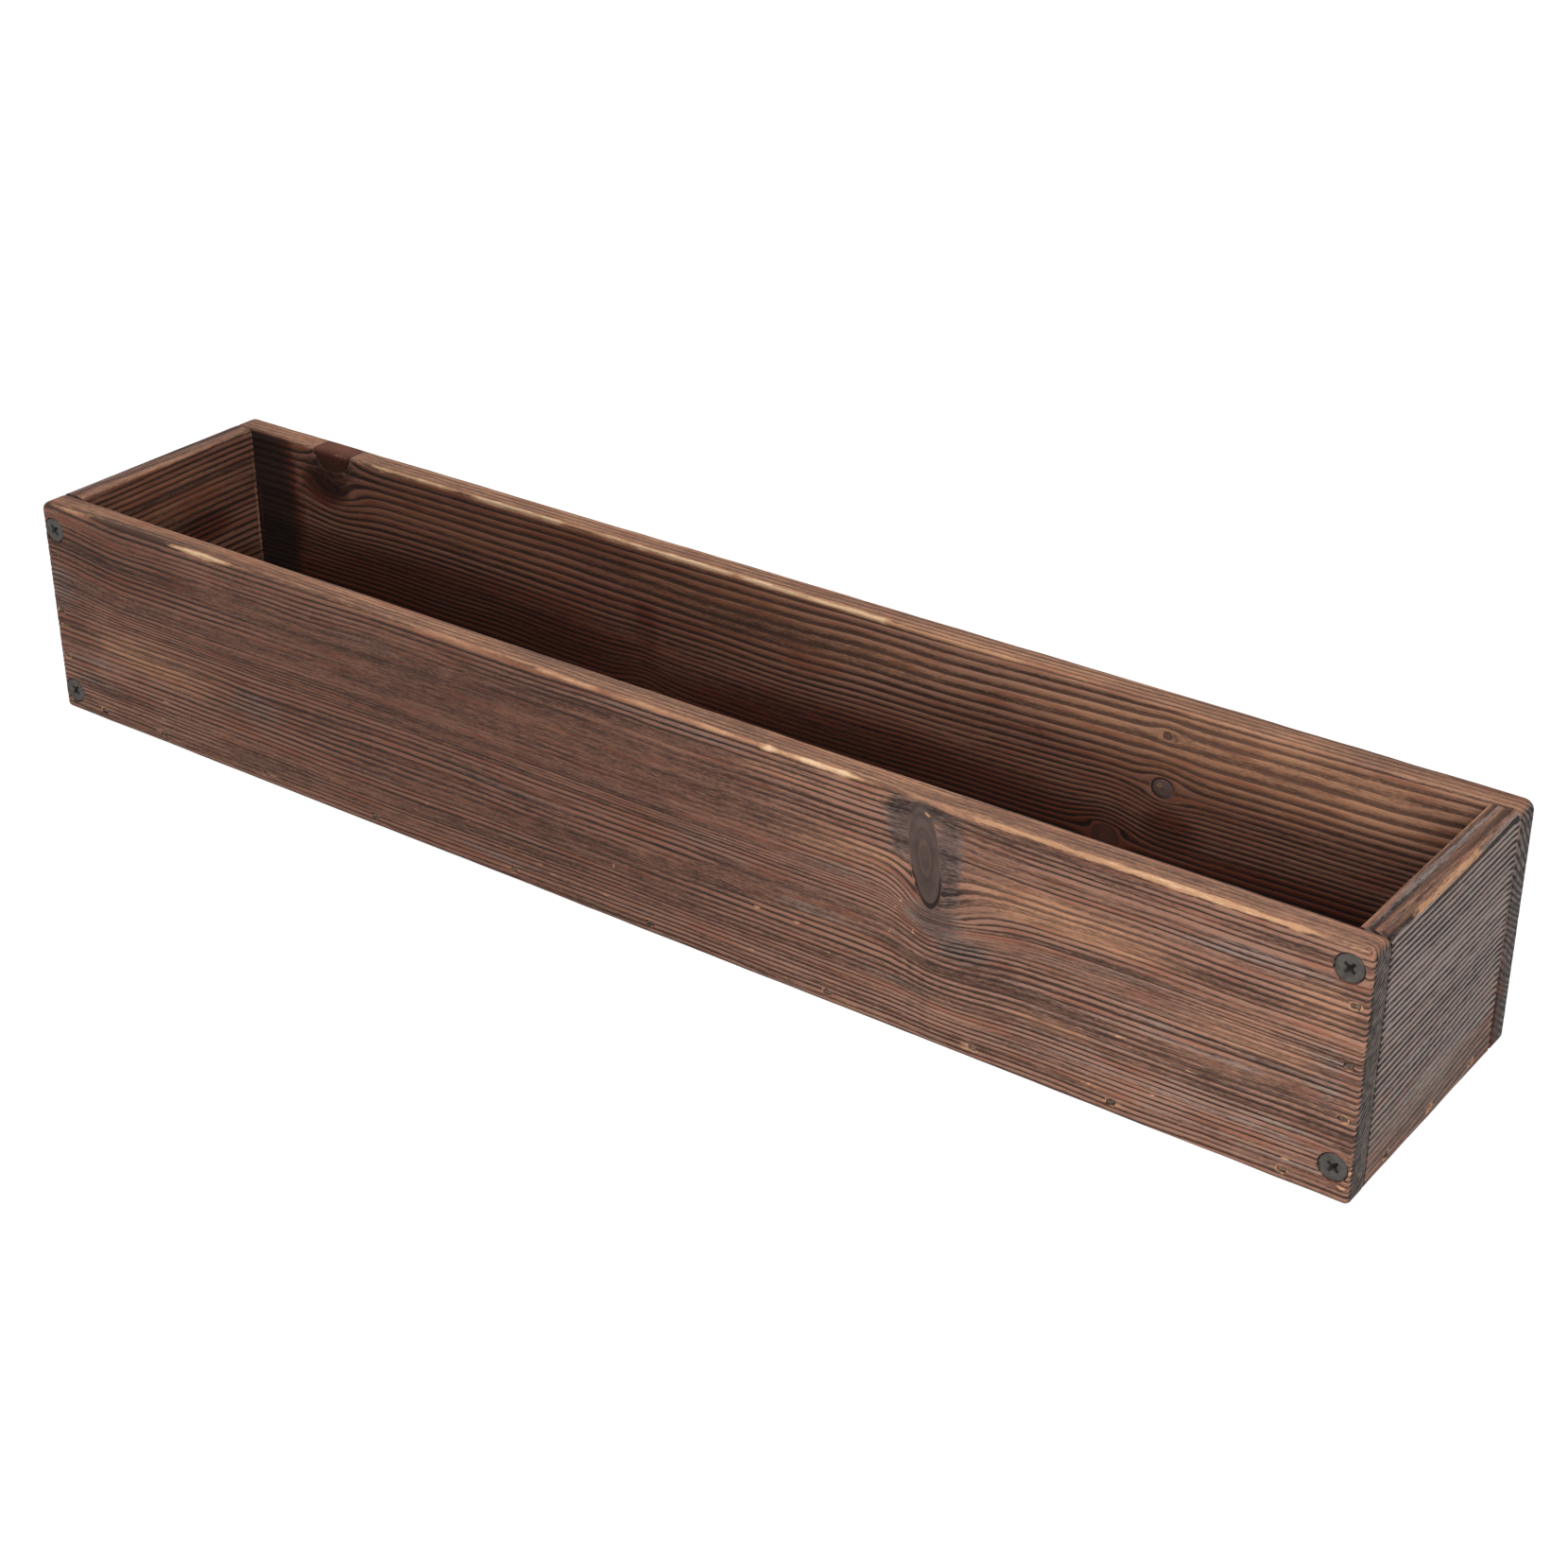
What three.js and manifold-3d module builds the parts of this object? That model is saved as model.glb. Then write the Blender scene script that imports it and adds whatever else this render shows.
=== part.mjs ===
// Window box planter: an open-topped trough of five torched softwood boards. The front and back boards
// run the full length, the end boards butt between them, and the bottom board lies between all four.
// Countersunk screws hold the corners, and brads pin the corners and the bottom.
//
// Millimetres, +Z up. X runs along the box and +Y goes away from its front. The origin is under the
// middle of the box, on the surface that it stands on.

import * as THREE from 'three';
import { mergeVertices } from 'three/addons/utils/BufferGeometryUtils.js';
import Module from 'manifold-3d';

// ---------------------------------------------------------------- driving dimensions

const LENGTH = 508;
const DEPTH = 102;
const HEIGHT = 80;

const LONG_THICKNESS = 10;
const END_THICKNESS = 10;
const BOTTOM_THICKNESS = 8;

const TOP_CORNER_RADIUS = 3.5; // the long boards' upper corners, seen from the front
const LOWER_CORNER_RADIUS = 1.8;
const LONG_ARRIS = 1.4;
const END_TOP_ARRIS = 3; // the end boards' outer top arris, which carries on the long boards' corners
const END_ARRIS = 1.2;
const BOTTOM_CHAMFER = 0.6;

const JOINT_GAP = 0.2; // the hairline between two boards that butt
const END_SETBACK = 0.2; // the end boards lie this far inside the long boards' ends

const DRAIN_DIAMETER = 10;
const DRAIN_COUNT = 3;

const SCREW_LENGTH = 30;
const SCREW_HEAD_DIAMETER = 8.5;
const SCREW_HEAD_RIM = 0.35;
const SCREW_SHANK_DIAMETER = 3.6; // at half the depth of the thread
const SCREW_POINT_LENGTH = 5;
const SCREW_SINK = 0.3; // how far the head lies below the board's face
const SCREW_MARGIN = 0.5; // the least wood between a screw's hole and the end or face of a board
const RECESS_SPAN = 4.9;
const RECESS_WING = 1.2;
const RECESS_DEPTH = 1.9;
const RECESS_TAPER = 0.4; // each wall of the recess leans in by this much

const BRAD_LENGTH = 20;
const BRAD_WIDTH = 1.3;
const BRAD_WIRE = 1.1;
const BRAD_HEAD_WIDTH = 2.3;
const BRAD_HEAD_THICKNESS = 0.8;
const BRAD_POINT_LENGTH = 1.6;
const BRAD_SINK = 0.5;
const END_BRAD_MARGIN = 2.6; // from an end board's outer brads to the tips of the long boards' brads

const FASTENER_CLEARANCE = 0.3;

// Where the screws of a long board went in, as seen from outside: from its end, from its lower or upper
// edge, and how far the driver's cross is turned, in degrees.
const SCREW_PLACES = {
  left: {
    lower: { fromEnd: 4.9, fromEdge: 7.7, turn: 37 },
    upper: { fromEnd: 4.9, fromEdge: 10, turn: 50 },
  },
  right: {
    lower: { fromEnd: 5.7, fromEdge: 10.8, turn: 39 },
    upper: { fromEnd: 7.2, fromEdge: 7.2, turn: 41 },
  },
};

// Where the brads went in: along a long board's lower edge, as shares of its length from the left as
// seen from outside, and up each corner, as shares of the height between its two screws.
const LONG_BRAD_SHARES = [0.04, 0.1, 0.2, 0.3, 0.42, 0.53, 0.663, 0.764, 0.855, 0.96];
const CORNER_BRAD_SHARES = {
  left: { low: 0.22, middle: 0.5, high: 0.85 },
  right: { low: 0.26, middle: 0.53, high: 0.83 },
};
const CORNER_BRAD_INSET = { left: 3.6, right: 4.4 };

// Colours and sheen of the wood and the metal.
const TORCHED_BROWN = '#5c3b2c';
const TORCHED_DARK = '#4c3226';
const TORCHED_GREY = '#57473f';
const BARE_STEEL = '#5e5a55';
const BRAD_WIRE_COLOUR = '#8b7a66';
const WOOD_ROUGHNESS = 0.72;
const METAL_ROUGHNESS = 0.55;

// How finely curves are cut into facets.
const CORNER_SEGMENTS = 6;
const ARRIS_SEGMENTS = 4;
const SCREW_SEGMENTS = 24;
const DRAIN_SEGMENTS = 16;

const WELD = 1e-4; // vertices closer than this are one vertex
const BREAKOUT = 1; // cutters stand this far out of the face that they cut

// ---------------------------------------------------------------- values that follow from them

const INNER_DEPTH = DEPTH - 2 * LONG_THICKNESS;
const END_WIDTH = INNER_DEPTH - 2 * JOINT_GAP;
const END_FACE = LENGTH / 2 - END_SETBACK; // from the middle of the box to an end board's outside
const BOTTOM_LENGTH = 2 * (END_FACE - END_THICKNESS - JOINT_GAP);
const BOTTOM_DEPTH = INNER_DEPTH - 2 * JOINT_GAP;

const COUNTERSINK_RADIUS = SCREW_HEAD_DIAMETER / 2 + Math.SQRT2 * FASTENER_CLEARANCE;
const SCREW_BORE = SCREW_SHANK_DIAMETER / 2 + FASTENER_CLEARANCE;

// A corner screw's countersink keeps wood towards the end of its long board, and its bore keeps wood
// towards the inner face of the end board that it enters.
const LEAST_SCREW_INSET = COUNTERSINK_RADIUS + SCREW_MARGIN;
const MOST_SCREW_INSET = END_SETBACK + END_THICKNESS - SCREW_BORE - SCREW_MARGIN;

// Lower brads enter the middle of the bottom board, clear of those from the other walls.
const BOTTOM_STATION = BOTTOM_THICKNESS / 2;
const BRAD_REACH = BRAD_SINK + BRAD_LENGTH - LONG_THICKNESS;
const END_BRAD_STATION = INNER_DEPTH / 2 - BRAD_REACH - END_BRAD_MARGIN;

// ---------------------------------------------------------------- solids

const wasm = await Module();
wasm.setup();

/** A closed three.js geometry as a solid that can be cut. */
function toSolid(geometry) {
  const bare = geometry.clone();
  bare.deleteAttribute('normal');
  bare.deleteAttribute('uv');
  const merged = mergeVertices(bare, WELD);
  const { array } = merged.getAttribute('position');
  const triVerts = new Uint32Array(merged.index.array);
  return new wasm.Manifold(new wasm.Mesh({ numProp: 3, vertProperties: array, triVerts }));
}

/** A solid as a flat-shaded geometry. */
function toGeometry(solid) {
  const { numProp, vertProperties, triVerts } = solid.getMesh();
  const geometry = new THREE.BufferGeometry();
  geometry.setAttribute('position', new THREE.BufferAttribute(vertProperties, numProp));
  geometry.setIndex(new THREE.BufferAttribute(triVerts, 1));
  const faceted = geometry.toNonIndexed();
  faceted.computeVertexNormals();
  return faceted;
}

/** A rectangle about the origin, with the radius of each corner from the upper right one leftwards. */
function roundedRectangle(width, height, radii) {
  const signs = [[1, 1], [-1, 1], [-1, -1], [1, -1]];
  const shape = new THREE.Shape();
  radii.forEach((radius, i) => {
    const x = signs[i][0] * (width / 2 - radius);
    const y = signs[i][1] * (height / 2 - radius);
    shape.absarc(x, y, radius, (i * Math.PI) / 2, ((i + 1) * Math.PI) / 2);
  });
  return shape;
}

// ---------------------------------------------------------------- wall frames

/**
 * Each wall has a frame of its own: X runs along the wall to the right as seen from outside, Z is up,
 * and the outside face is the plane Y = 0 with the wood behind it. The frame is turned about Z and
 * pushed out from the middle of the box.
 */
function wallFrame(turn, distance) {
  const frame = new THREE.Group();
  frame.rotation.z = turn;
  frame.position.set(Math.sin(turn) * distance, -Math.cos(turn) * distance, 0);
  frame.updateMatrix();
  return frame;
}

const WALLS = {
  front: wallFrame(0, DEPTH / 2),
  right: wallFrame(Math.PI / 2, END_FACE),
  back: wallFrame(Math.PI, DEPTH / 2),
  left: wallFrame(-Math.PI / 2, END_FACE),
};

// ---------------------------------------------------------------- boards

/** A long board: the rounded outline of its face, given its thickness, with every arris eased. */
function longBoard() {
  const corners = [TOP_CORNER_RADIUS, TOP_CORNER_RADIUS, LOWER_CORNER_RADIUS, LOWER_CORNER_RADIUS];
  const outline = roundedRectangle(LENGTH, HEIGHT, corners);
  const board = new THREE.ExtrudeGeometry(outline, {
    depth: LONG_THICKNESS - 2 * LONG_ARRIS,
    curveSegments: CORNER_SEGMENTS,
    bevelThickness: LONG_ARRIS,
    bevelSize: LONG_ARRIS,
    bevelOffset: -LONG_ARRIS,
    bevelSegments: ARRIS_SEGMENTS,
  });
  board.rotateX(Math.PI / 2);
  board.translate(0, LONG_THICKNESS - LONG_ARRIS, HEIGHT / 2);
  return board;
}

/** An end board: its rounded section, run from one long board to the other, with square sawn ends. */
function endBoard() {
  const corners = [END_ARRIS, END_TOP_ARRIS, END_ARRIS, END_ARRIS];
  const section = roundedRectangle(END_THICKNESS, HEIGHT, corners);
  const board = new THREE.ExtrudeGeometry(section, {
    depth: END_WIDTH,
    curveSegments: CORNER_SEGMENTS,
    bevelEnabled: false,
  });
  const alongWall = new THREE.Matrix4().makeBasis(
    new THREE.Vector3(0, 1, 0),
    new THREE.Vector3(0, 0, 1),
    new THREE.Vector3(1, 0, 0),
  );
  board.applyMatrix4(alongWall);
  board.translate(-END_WIDTH / 2, END_THICKNESS / 2, HEIGHT / 2);
  return board;
}

/** The bottom board, with its row of drain holes and a small chamfer round every edge. */
function bottomBoard() {
  const x = BOTTOM_LENGTH / 2;
  const y = BOTTOM_DEPTH / 2;
  const outline = new THREE.Shape();
  outline.moveTo(-x, -y).lineTo(x, -y).lineTo(x, y).lineTo(-x, y);
  for (let i = 0; i < DRAIN_COUNT; i += 1) {
    const station = ((i + 0.5) / DRAIN_COUNT - 0.5) * BOTTOM_LENGTH;
    outline.holes.push(new THREE.Path().absarc(station, 0, DRAIN_DIAMETER / 2, 0, 2 * Math.PI, true));
  }
  const board = new THREE.ExtrudeGeometry(outline, {
    depth: BOTTOM_THICKNESS - 2 * BOTTOM_CHAMFER,
    curveSegments: DRAIN_SEGMENTS,
    bevelThickness: BOTTOM_CHAMFER,
    bevelSize: BOTTOM_CHAMFER,
    bevelOffset: -BOTTOM_CHAMFER,
    bevelSegments: 1,
  });
  board.translate(0, 0, BOTTOM_CHAMFER);
  return board;
}

// ---------------------------------------------------------------- fasteners
// A fastener's own frame has its head's top in the plane Y = 0 and its point towards +Y.

/** Half a screw, from the middle of its head to its point. */
function screwProfile() {
  const head = SCREW_HEAD_DIAMETER / 2;
  const shank = SCREW_SHANK_DIAMETER / 2;
  return [
    new THREE.Vector2(0, 0),
    new THREE.Vector2(head - SCREW_HEAD_RIM / 2, 0),
    new THREE.Vector2(head, SCREW_HEAD_RIM / 2),
    new THREE.Vector2(head, SCREW_HEAD_RIM),
    new THREE.Vector2(shank, SCREW_HEAD_RIM + head - shank),
    new THREE.Vector2(shank, SCREW_LENGTH - SCREW_POINT_LENGTH),
    new THREE.Vector2(0, SCREW_LENGTH),
  ];
}

/** Half of the countersunk hole that a screw fills, from outside the board's face to its end. */
function screwHoleProfile() {
  const mouth = COUNTERSINK_RADIUS;
  return [
    new THREE.Vector2(0, -SCREW_SINK - BREAKOUT),
    new THREE.Vector2(mouth, -SCREW_SINK - BREAKOUT),
    new THREE.Vector2(mouth, SCREW_HEAD_RIM),
    new THREE.Vector2(SCREW_BORE, SCREW_HEAD_RIM + mouth - SCREW_BORE),
    new THREE.Vector2(SCREW_BORE, SCREW_LENGTH),
    new THREE.Vector2(0, SCREW_LENGTH + SCREW_BORE),
  ];
}

/** The driver's cross, wide at the head's face and narrower at its floor. */
function recessCutter() {
  const long = RECESS_SPAN / 2 - RECESS_TAPER;
  const short = RECESS_WING / 2 - RECESS_TAPER;
  const cross = new THREE.Shape();
  cross.moveTo(long, -short).lineTo(long, short).lineTo(short, short).lineTo(short, long);
  cross.lineTo(-short, long).lineTo(-short, short).lineTo(-long, short).lineTo(-long, -short);
  cross.lineTo(-short, -short).lineTo(-short, -long).lineTo(short, -long).lineTo(short, -short);
  const cutter = new THREE.ExtrudeGeometry(cross, {
    depth: 2 * BREAKOUT,
    bevelThickness: RECESS_DEPTH,
    bevelSize: RECESS_TAPER,
    bevelSegments: 1,
  });
  cutter.rotateX(-Math.PI / 2);
  cutter.translate(0, -2 * BREAKOUT, 0);
  return cutter;
}

/** A brad's outline, grown by a clearance and with its head drawn out by a rise where it is a hole. */
function bradOutline(growth, rise) {
  const head = BRAD_HEAD_WIDTH / 2 + growth;
  const shank = BRAD_WIDTH / 2 + growth;
  const neck = BRAD_HEAD_THICKNESS + growth;
  const tip = BRAD_LENGTH + growth;
  const outline = new THREE.Shape();
  outline.moveTo(-head, -rise).lineTo(head, -rise).lineTo(head, neck).lineTo(shank, neck);
  outline.lineTo(shank, tip - BRAD_POINT_LENGTH).lineTo(0, tip).lineTo(-shank, tip - BRAD_POINT_LENGTH);
  outline.lineTo(-shank, neck).lineTo(-head, neck);
  return outline;
}

/** The outline given the thickness of the brad's wire. */
function bradBody(growth, rise) {
  const thickness = BRAD_WIRE + 2 * growth;
  const outline = bradOutline(growth, rise);
  const body = new THREE.ExtrudeGeometry(outline, { depth: thickness, bevelEnabled: false });
  body.translate(0, 0, -thickness / 2);
  return body;
}

const SCREW = toGeometry(
  toSolid(new THREE.LatheGeometry(screwProfile(), SCREW_SEGMENTS)).subtract(toSolid(recessCutter())),
);
const SCREW_HOLE = new THREE.LatheGeometry(screwHoleProfile(), SCREW_SEGMENTS);
const BRAD = bradBody(0, 0);
const BRAD_HOLE = bradBody(FASTENER_CLEARANCE, BRAD_SINK + BREAKOUT);

// ---------------------------------------------------------------- where the fasteners go

const holes = []; // each fastener's hole, with the matrix that places it in the box

/** Drives one fastener into a wall at a station along it and a height, and keeps its hole. */
function drive(wall, name, shape, hole, sink, station, height, turn, material) {
  const fastener = new THREE.Mesh(shape, material);
  fastener.name = name;
  fastener.position.set(station, sink, height);
  fastener.rotation.y = turn;
  fastener.updateMatrix();
  wall.add(fastener);
  holes.push({ hole, matrix: wall.matrix.clone().multiply(fastener.matrix) });
}

const steel = () =>
  new THREE.MeshStandardMaterial({ color: BARE_STEEL, roughness: METAL_ROUGHNESS, metalness: 0.8 });
const wire = () =>
  new THREE.MeshStandardMaterial({ color: BRAD_WIRE_COLOUR, roughness: METAL_ROUGHNESS, metalness: 0.6 });

function driveScrew(wall, name, station, height, turn) {
  const radians = THREE.MathUtils.degToRad(turn);
  drive(wall, name, SCREW, SCREW_HOLE, SCREW_SINK, station, height, radians, steel());
}

function driveBrad(wall, name, station, height) {
  drive(wall, name, BRAD, BRAD_HOLE, BRAD_SINK, station, height, 0, wire());
}

/** A long wall's screws and brads. The box's left end is on a wall's left only on the front. */
function fastenLongWall(side) {
  const wall = WALLS[side];
  for (const [hand, { lower, upper }] of Object.entries(SCREW_PLACES)) {
    const sign = hand === 'left' ? -1 : 1;
    const end = (hand === 'left') === (side === 'front') ? 'left' : 'right';
    const screwStation = ({ fromEnd }) =>
      sign * (LENGTH / 2 - Math.max(LEAST_SCREW_INSET, Math.min(fromEnd, MOST_SCREW_INSET)));
    const low = lower.fromEdge;
    const rise = HEIGHT - upper.fromEdge - low;
    driveScrew(wall, `screw_${side}_${end}_lower`, screwStation(lower), low, lower.turn);
    driveScrew(wall, `screw_${side}_${end}_upper`, screwStation(upper), low + rise, upper.turn);
    const bradStation = sign * (LENGTH / 2 - CORNER_BRAD_INSET[hand]);
    for (const [level, share] of Object.entries(CORNER_BRAD_SHARES[hand])) {
      driveBrad(wall, `brad_${side}_${end}_${level}`, bradStation, low + share * rise);
    }
  }
  LONG_BRAD_SHARES.forEach((share, i) => {
    const number = String(i + 1).padStart(2, '0');
    driveBrad(wall, `brad_${side}_bottom_${number}`, (share - 0.5) * LENGTH, BOTTOM_STATION);
  });
}

/** An end wall's three brads into the end of the bottom board. */
function fastenEndWall(side) {
  [-END_BRAD_STATION, 0, END_BRAD_STATION].forEach((station, i) => {
    driveBrad(WALLS[side], `brad_${side}_bottom_${i + 1}`, station, BOTTOM_STATION);
  });
}

['front', 'back'].forEach(fastenLongWall);
['left', 'right'].forEach(fastenEndWall);

// ---------------------------------------------------------------- the assembly

/** A board, cut by every fastener's hole, as a named mesh in the frame that holds it. */
function addBoard(frame, name, geometry, colour) {
  const toFrame = frame.matrix.clone().invert();
  const drilled = holes.reduce((board, { hole, matrix }) => {
    const placed = hole.clone().applyMatrix4(toFrame.clone().multiply(matrix));
    return board.subtract(toSolid(placed));
  }, toSolid(geometry));
  const material = new THREE.MeshStandardMaterial({ color: colour, roughness: WOOD_ROUGHNESS, metalness: 0 });
  const mesh = new THREE.Mesh(toGeometry(drilled), material);
  mesh.name = name;
  frame.add(mesh);
}

const planter = new THREE.Group();
addBoard(WALLS.front, 'front_board', longBoard(), TORCHED_BROWN);
addBoard(WALLS.back, 'back_board', longBoard(), TORCHED_BROWN);
addBoard(WALLS.left, 'left_end_board', endBoard(), TORCHED_GREY);
addBoard(WALLS.right, 'right_end_board', endBoard(), TORCHED_GREY);
addBoard(planter, 'bottom_board', bottomBoard(), TORCHED_DARK);
planter.add(...Object.values(WALLS));

export default planter;
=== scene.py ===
"""Window box planter: torched and brushed softwood boards with their screws and brads.

Lengths here are millimetres until a piece is finished, and metres from then on. A board has places of its
own: u runs along its grain, v across its face, and w inwards from its outside face.
"""

import math
from dataclasses import dataclass

import bmesh
import bpy
import numpy as np
from bpy.props import FloatProperty, FloatVectorProperty, IntProperty, PointerProperty
from mathutils import Matrix, Vector


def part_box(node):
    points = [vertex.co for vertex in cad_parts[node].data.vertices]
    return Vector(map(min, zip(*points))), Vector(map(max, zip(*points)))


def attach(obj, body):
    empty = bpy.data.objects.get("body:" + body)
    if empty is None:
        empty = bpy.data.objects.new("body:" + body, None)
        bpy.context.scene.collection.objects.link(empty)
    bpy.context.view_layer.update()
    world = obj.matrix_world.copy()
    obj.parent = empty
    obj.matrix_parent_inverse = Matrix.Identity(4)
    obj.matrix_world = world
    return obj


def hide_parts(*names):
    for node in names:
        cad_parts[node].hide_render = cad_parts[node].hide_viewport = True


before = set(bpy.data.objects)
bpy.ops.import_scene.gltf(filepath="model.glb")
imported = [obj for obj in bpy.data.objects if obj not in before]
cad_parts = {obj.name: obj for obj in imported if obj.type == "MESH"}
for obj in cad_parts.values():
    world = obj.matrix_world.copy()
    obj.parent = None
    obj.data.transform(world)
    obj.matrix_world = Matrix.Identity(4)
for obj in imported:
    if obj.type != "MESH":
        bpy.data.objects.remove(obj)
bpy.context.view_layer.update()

bl_info = {
    "name": "Torched Window Box",
    "version": (1, 0, 0),
    "blender": (4, 5, 0),
    "location": "View3D > Sidebar > Planter",
    "description": "Builds a window box planter from torched softwood boards, screws and brads",
    "category": "Add Mesh",
}

MM = 0.001
ROOT = "root"

PHOTO_SIZE = 1659  # the photograph's sides, in pixels
CAMERA_FOCAL = 2966.1  # in those pixels
CAMERA_AZIMUTH = 36.133
CAMERA_ELEVATION = 28.298
CAMERA_DISTANCE = 0.887
CAMERA_TARGET = Vector((0.02974, 0.0, 0.03567))
SENSOR_WIDTH = 36.0

KEY_PLACE, KEY_SIZE = Vector((0.66, -0.76, 0.6)), 0.6
TOP_PLACE, TOP_SIZE = Vector((-0.25, 0.15, 1.5)), 1.4
WHITE = (1.0, 1.0, 1.0, 1.0)
FLOOR_COLOUR = (0.86, 0.86, 0.86, 1.0)
FLOOR_RADIUS = 3.0
FLOOR_GAP = 0.0003  # under the planter
FLOOR_GLOW = 1.25  # seen over the floor's own shading
GLOW_SHARE = 0.72

# Depths in the wood, in millimetres as are all sizes below
SIDE_DEPTH = 0.12  # of a groove in a board's top or lower edge
END_DEPTH = 0.06  # of a groove in the end grain
FINE_DEPTHS = (0.07, 0.05)  # of the short and the long brushed lines
GAP_DEPTH = 0.5  # of the gap round a knot
ARRIS_DEPTH = 0.3  # of the long dips that were sanded into the arrises
FLECK_DEPTH = 0.16
WORN_DEPTH = 0.3
HOLLOW_DEPTH = 0.32  # of the crushed wood round a brad

RING_RISE = 0.26  # the share of a ring's width over which it rises
RING_END = 0.96  # where it is down again
ARRIS_ROWS = 5  # rows of faces on the flat next to a rounded arris
BOTTOM_EDGE = 1.2  # how far in the bottom board's even grid starts
HOLE_ROOM = 0.3  # round a shank or a wire
HEAD_ROOM = 0.42  # round a screw's head
BRAD_SEAT = 1.1  # depth of the slot for a brad's head
DRILL_START = 3.0  # a drill starts this far outside the face
SHARP_WOOD = math.radians(70.0)  # edges that turn more than this aren't shaded smooth
SHARP_STEEL = math.radians(32.0)


# ---- numbers over a surface


def smooth(share):
    """An even rise from 0 to 1."""
    share = np.clip(share, 0.0, 1.0)
    return share * share * (3.0 - 2.0 * share)


class Noise:
    """Smooth seeded noise over a plane, from 0 to 1, with one bump to a unit."""

    SIDE = 256

    def __init__(self, seed):
        self.lattice = np.random.default_rng(seed).random((self.SIDE, self.SIDE))

    def __call__(self, a, b):
        a, b = np.broadcast_arrays(np.asarray(a, float), np.asarray(b, float))
        row, column = np.floor(a).astype(int), np.floor(b).astype(int)
        down, right = smooth(a - row), smooth(b - column)
        row, column = row % self.SIDE, column % self.SIDE
        next_row, next_column = (row + 1) % self.SIDE, (column + 1) % self.SIDE
        near = self.lattice[row, column] * (1 - down) + self.lattice[next_row, column] * down
        far = self.lattice[row, next_column] * (1 - down) + self.lattice[next_row, next_column] * down
        return near * (1 - right) + far * right


# ---- how a board grew and was torched


@dataclass
class Knot:
    """A branch's end in a board's face, and how it bends the grain round it."""

    u: float
    v: float
    half_length: float
    half_height: float
    push: float = 3.0  # how far the grain goes round it at its tips
    reach: tuple = (8.0, 12.0)  # how far along the grain it is felt, before and after it
    fade: float = 18.0  # how far across the grain it is felt past its tips
    side: str = "both"
    lean: float = 0.0  # how far its middle line leans along the grain, per unit of height
    shade: float = 0.5  # from 0, slate, to 1, red brown
    crack: float = 1.0  # how open the gap round it is
    closed_above: float = 1000.0  # the gap has closed above this height
    sunk: float = 0.15
    parting: float = 0.0  # how far from its middle the grain parts to pass it
    above: float = 1.0  # the share of the push that is felt above the parting

    def middle(self, v):
        return self.u + self.lean * (v - self.v)

    def bend(self, u, v):
        """How far across the board the grain was moved here, to be undone."""
        off = u - self.middle(v)
        along = np.where(off < 0, off / self.reach[0], off / self.reach[1])
        out = (self.v + self.parting - v) / self.half_height
        past = np.maximum(np.abs(out) - 1.0, 0.0) * self.half_height
        share = np.clip(out, -1.0, 1.0) * np.exp(-past / self.fade)
        share = np.where(share < 0, share * self.above, share)
        return self.push * share * np.exp(-along * along)

    def oval(self, u, v):
        """0 at the knot's middle and 1 on its outline."""
        return np.hypot((u - self.middle(v)) / self.half_length, (v - self.v) / self.half_height)


@dataclass
class Sweep:
    """A stretch of a board over which its grain climbs, between two heights."""

    start: float
    end: float
    rise: float
    low: float
    high: float
    fade: float = 18.0

    def climb(self, u, v):
        share = smooth((u - self.start) / (self.end - self.start))
        within = smooth((v - self.low) / self.fade + 1.0) * smooth((self.high - v) / self.fade + 1.0)
        return self.rise * share * within


@dataclass
class Mark:
    """A place on a face that is barer, greyer, warmer, blacker or calmer than the wood round it. Some warmer
    ones are painted light, some blacker ones painted shade and some greyer ones a painted sheen.
    """

    kind: str
    u: float
    v: float  # or w on the top edge
    half_length: float
    half_height: float
    amount: float
    side: str  # outside, inside, both or top


@dataclass
class Sliver:
    """A stretch of a long arris that was rubbed or chipped down to bare wood."""

    edge: str  # top_outside, top_inside, bottom_outside or bottom_inside
    start: float
    end: float
    width: float
    amount: float


def marks(places):
    """Marks by kind and side, each written as u, v, half length, half height and amount."""
    return tuple(Mark(kind, *place, side) for (kind, side), group in places.items() for place in group)


def slivers(places):
    """Slivers by edge, each written as start, end, width and amount."""
    return tuple(Sliver(edge, *place) for edge, group in places.items() for place in group)


@dataclass
class Wood:
    """One board's growth and finish."""

    seed: int
    pitch: float  # between rings, square to them
    pith: tuple  # the tree's middle, as v and w
    tilt: float = 0.0  # how far the pith climbs along the board, per unit
    wave: float = 1.5
    dense: tuple = ()  # heights between which the rings lie closer, and how many more there are
    sweeps: tuple = ()
    depth: float = 0.45  # of a groove in the strongest relief
    inside_depth: float = 0.4
    crest: float = 0.2  # the share of a ring's width that stays high on the outside face
    inside_crest: float = 0.45
    even: float = 0.0  # from 0, rings that come and go, to 1, all alike
    contrast: float = 1.7  # between a ridge's tone and a groove's
    knots: tuple = ()
    marks: tuple = ()
    slivers: tuple = ()
    wear: float = 0.3  # over all the arrises


def years_profile(rings, crest):
    """0 in a groove and 1 on a ridge: each ring rises at once and falls slowly, away from the pith."""
    share = rings - np.floor(rings)
    return smooth(share / RING_RISE) * (1.0 - smooth((share - crest) / (RING_END - crest)))


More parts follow.
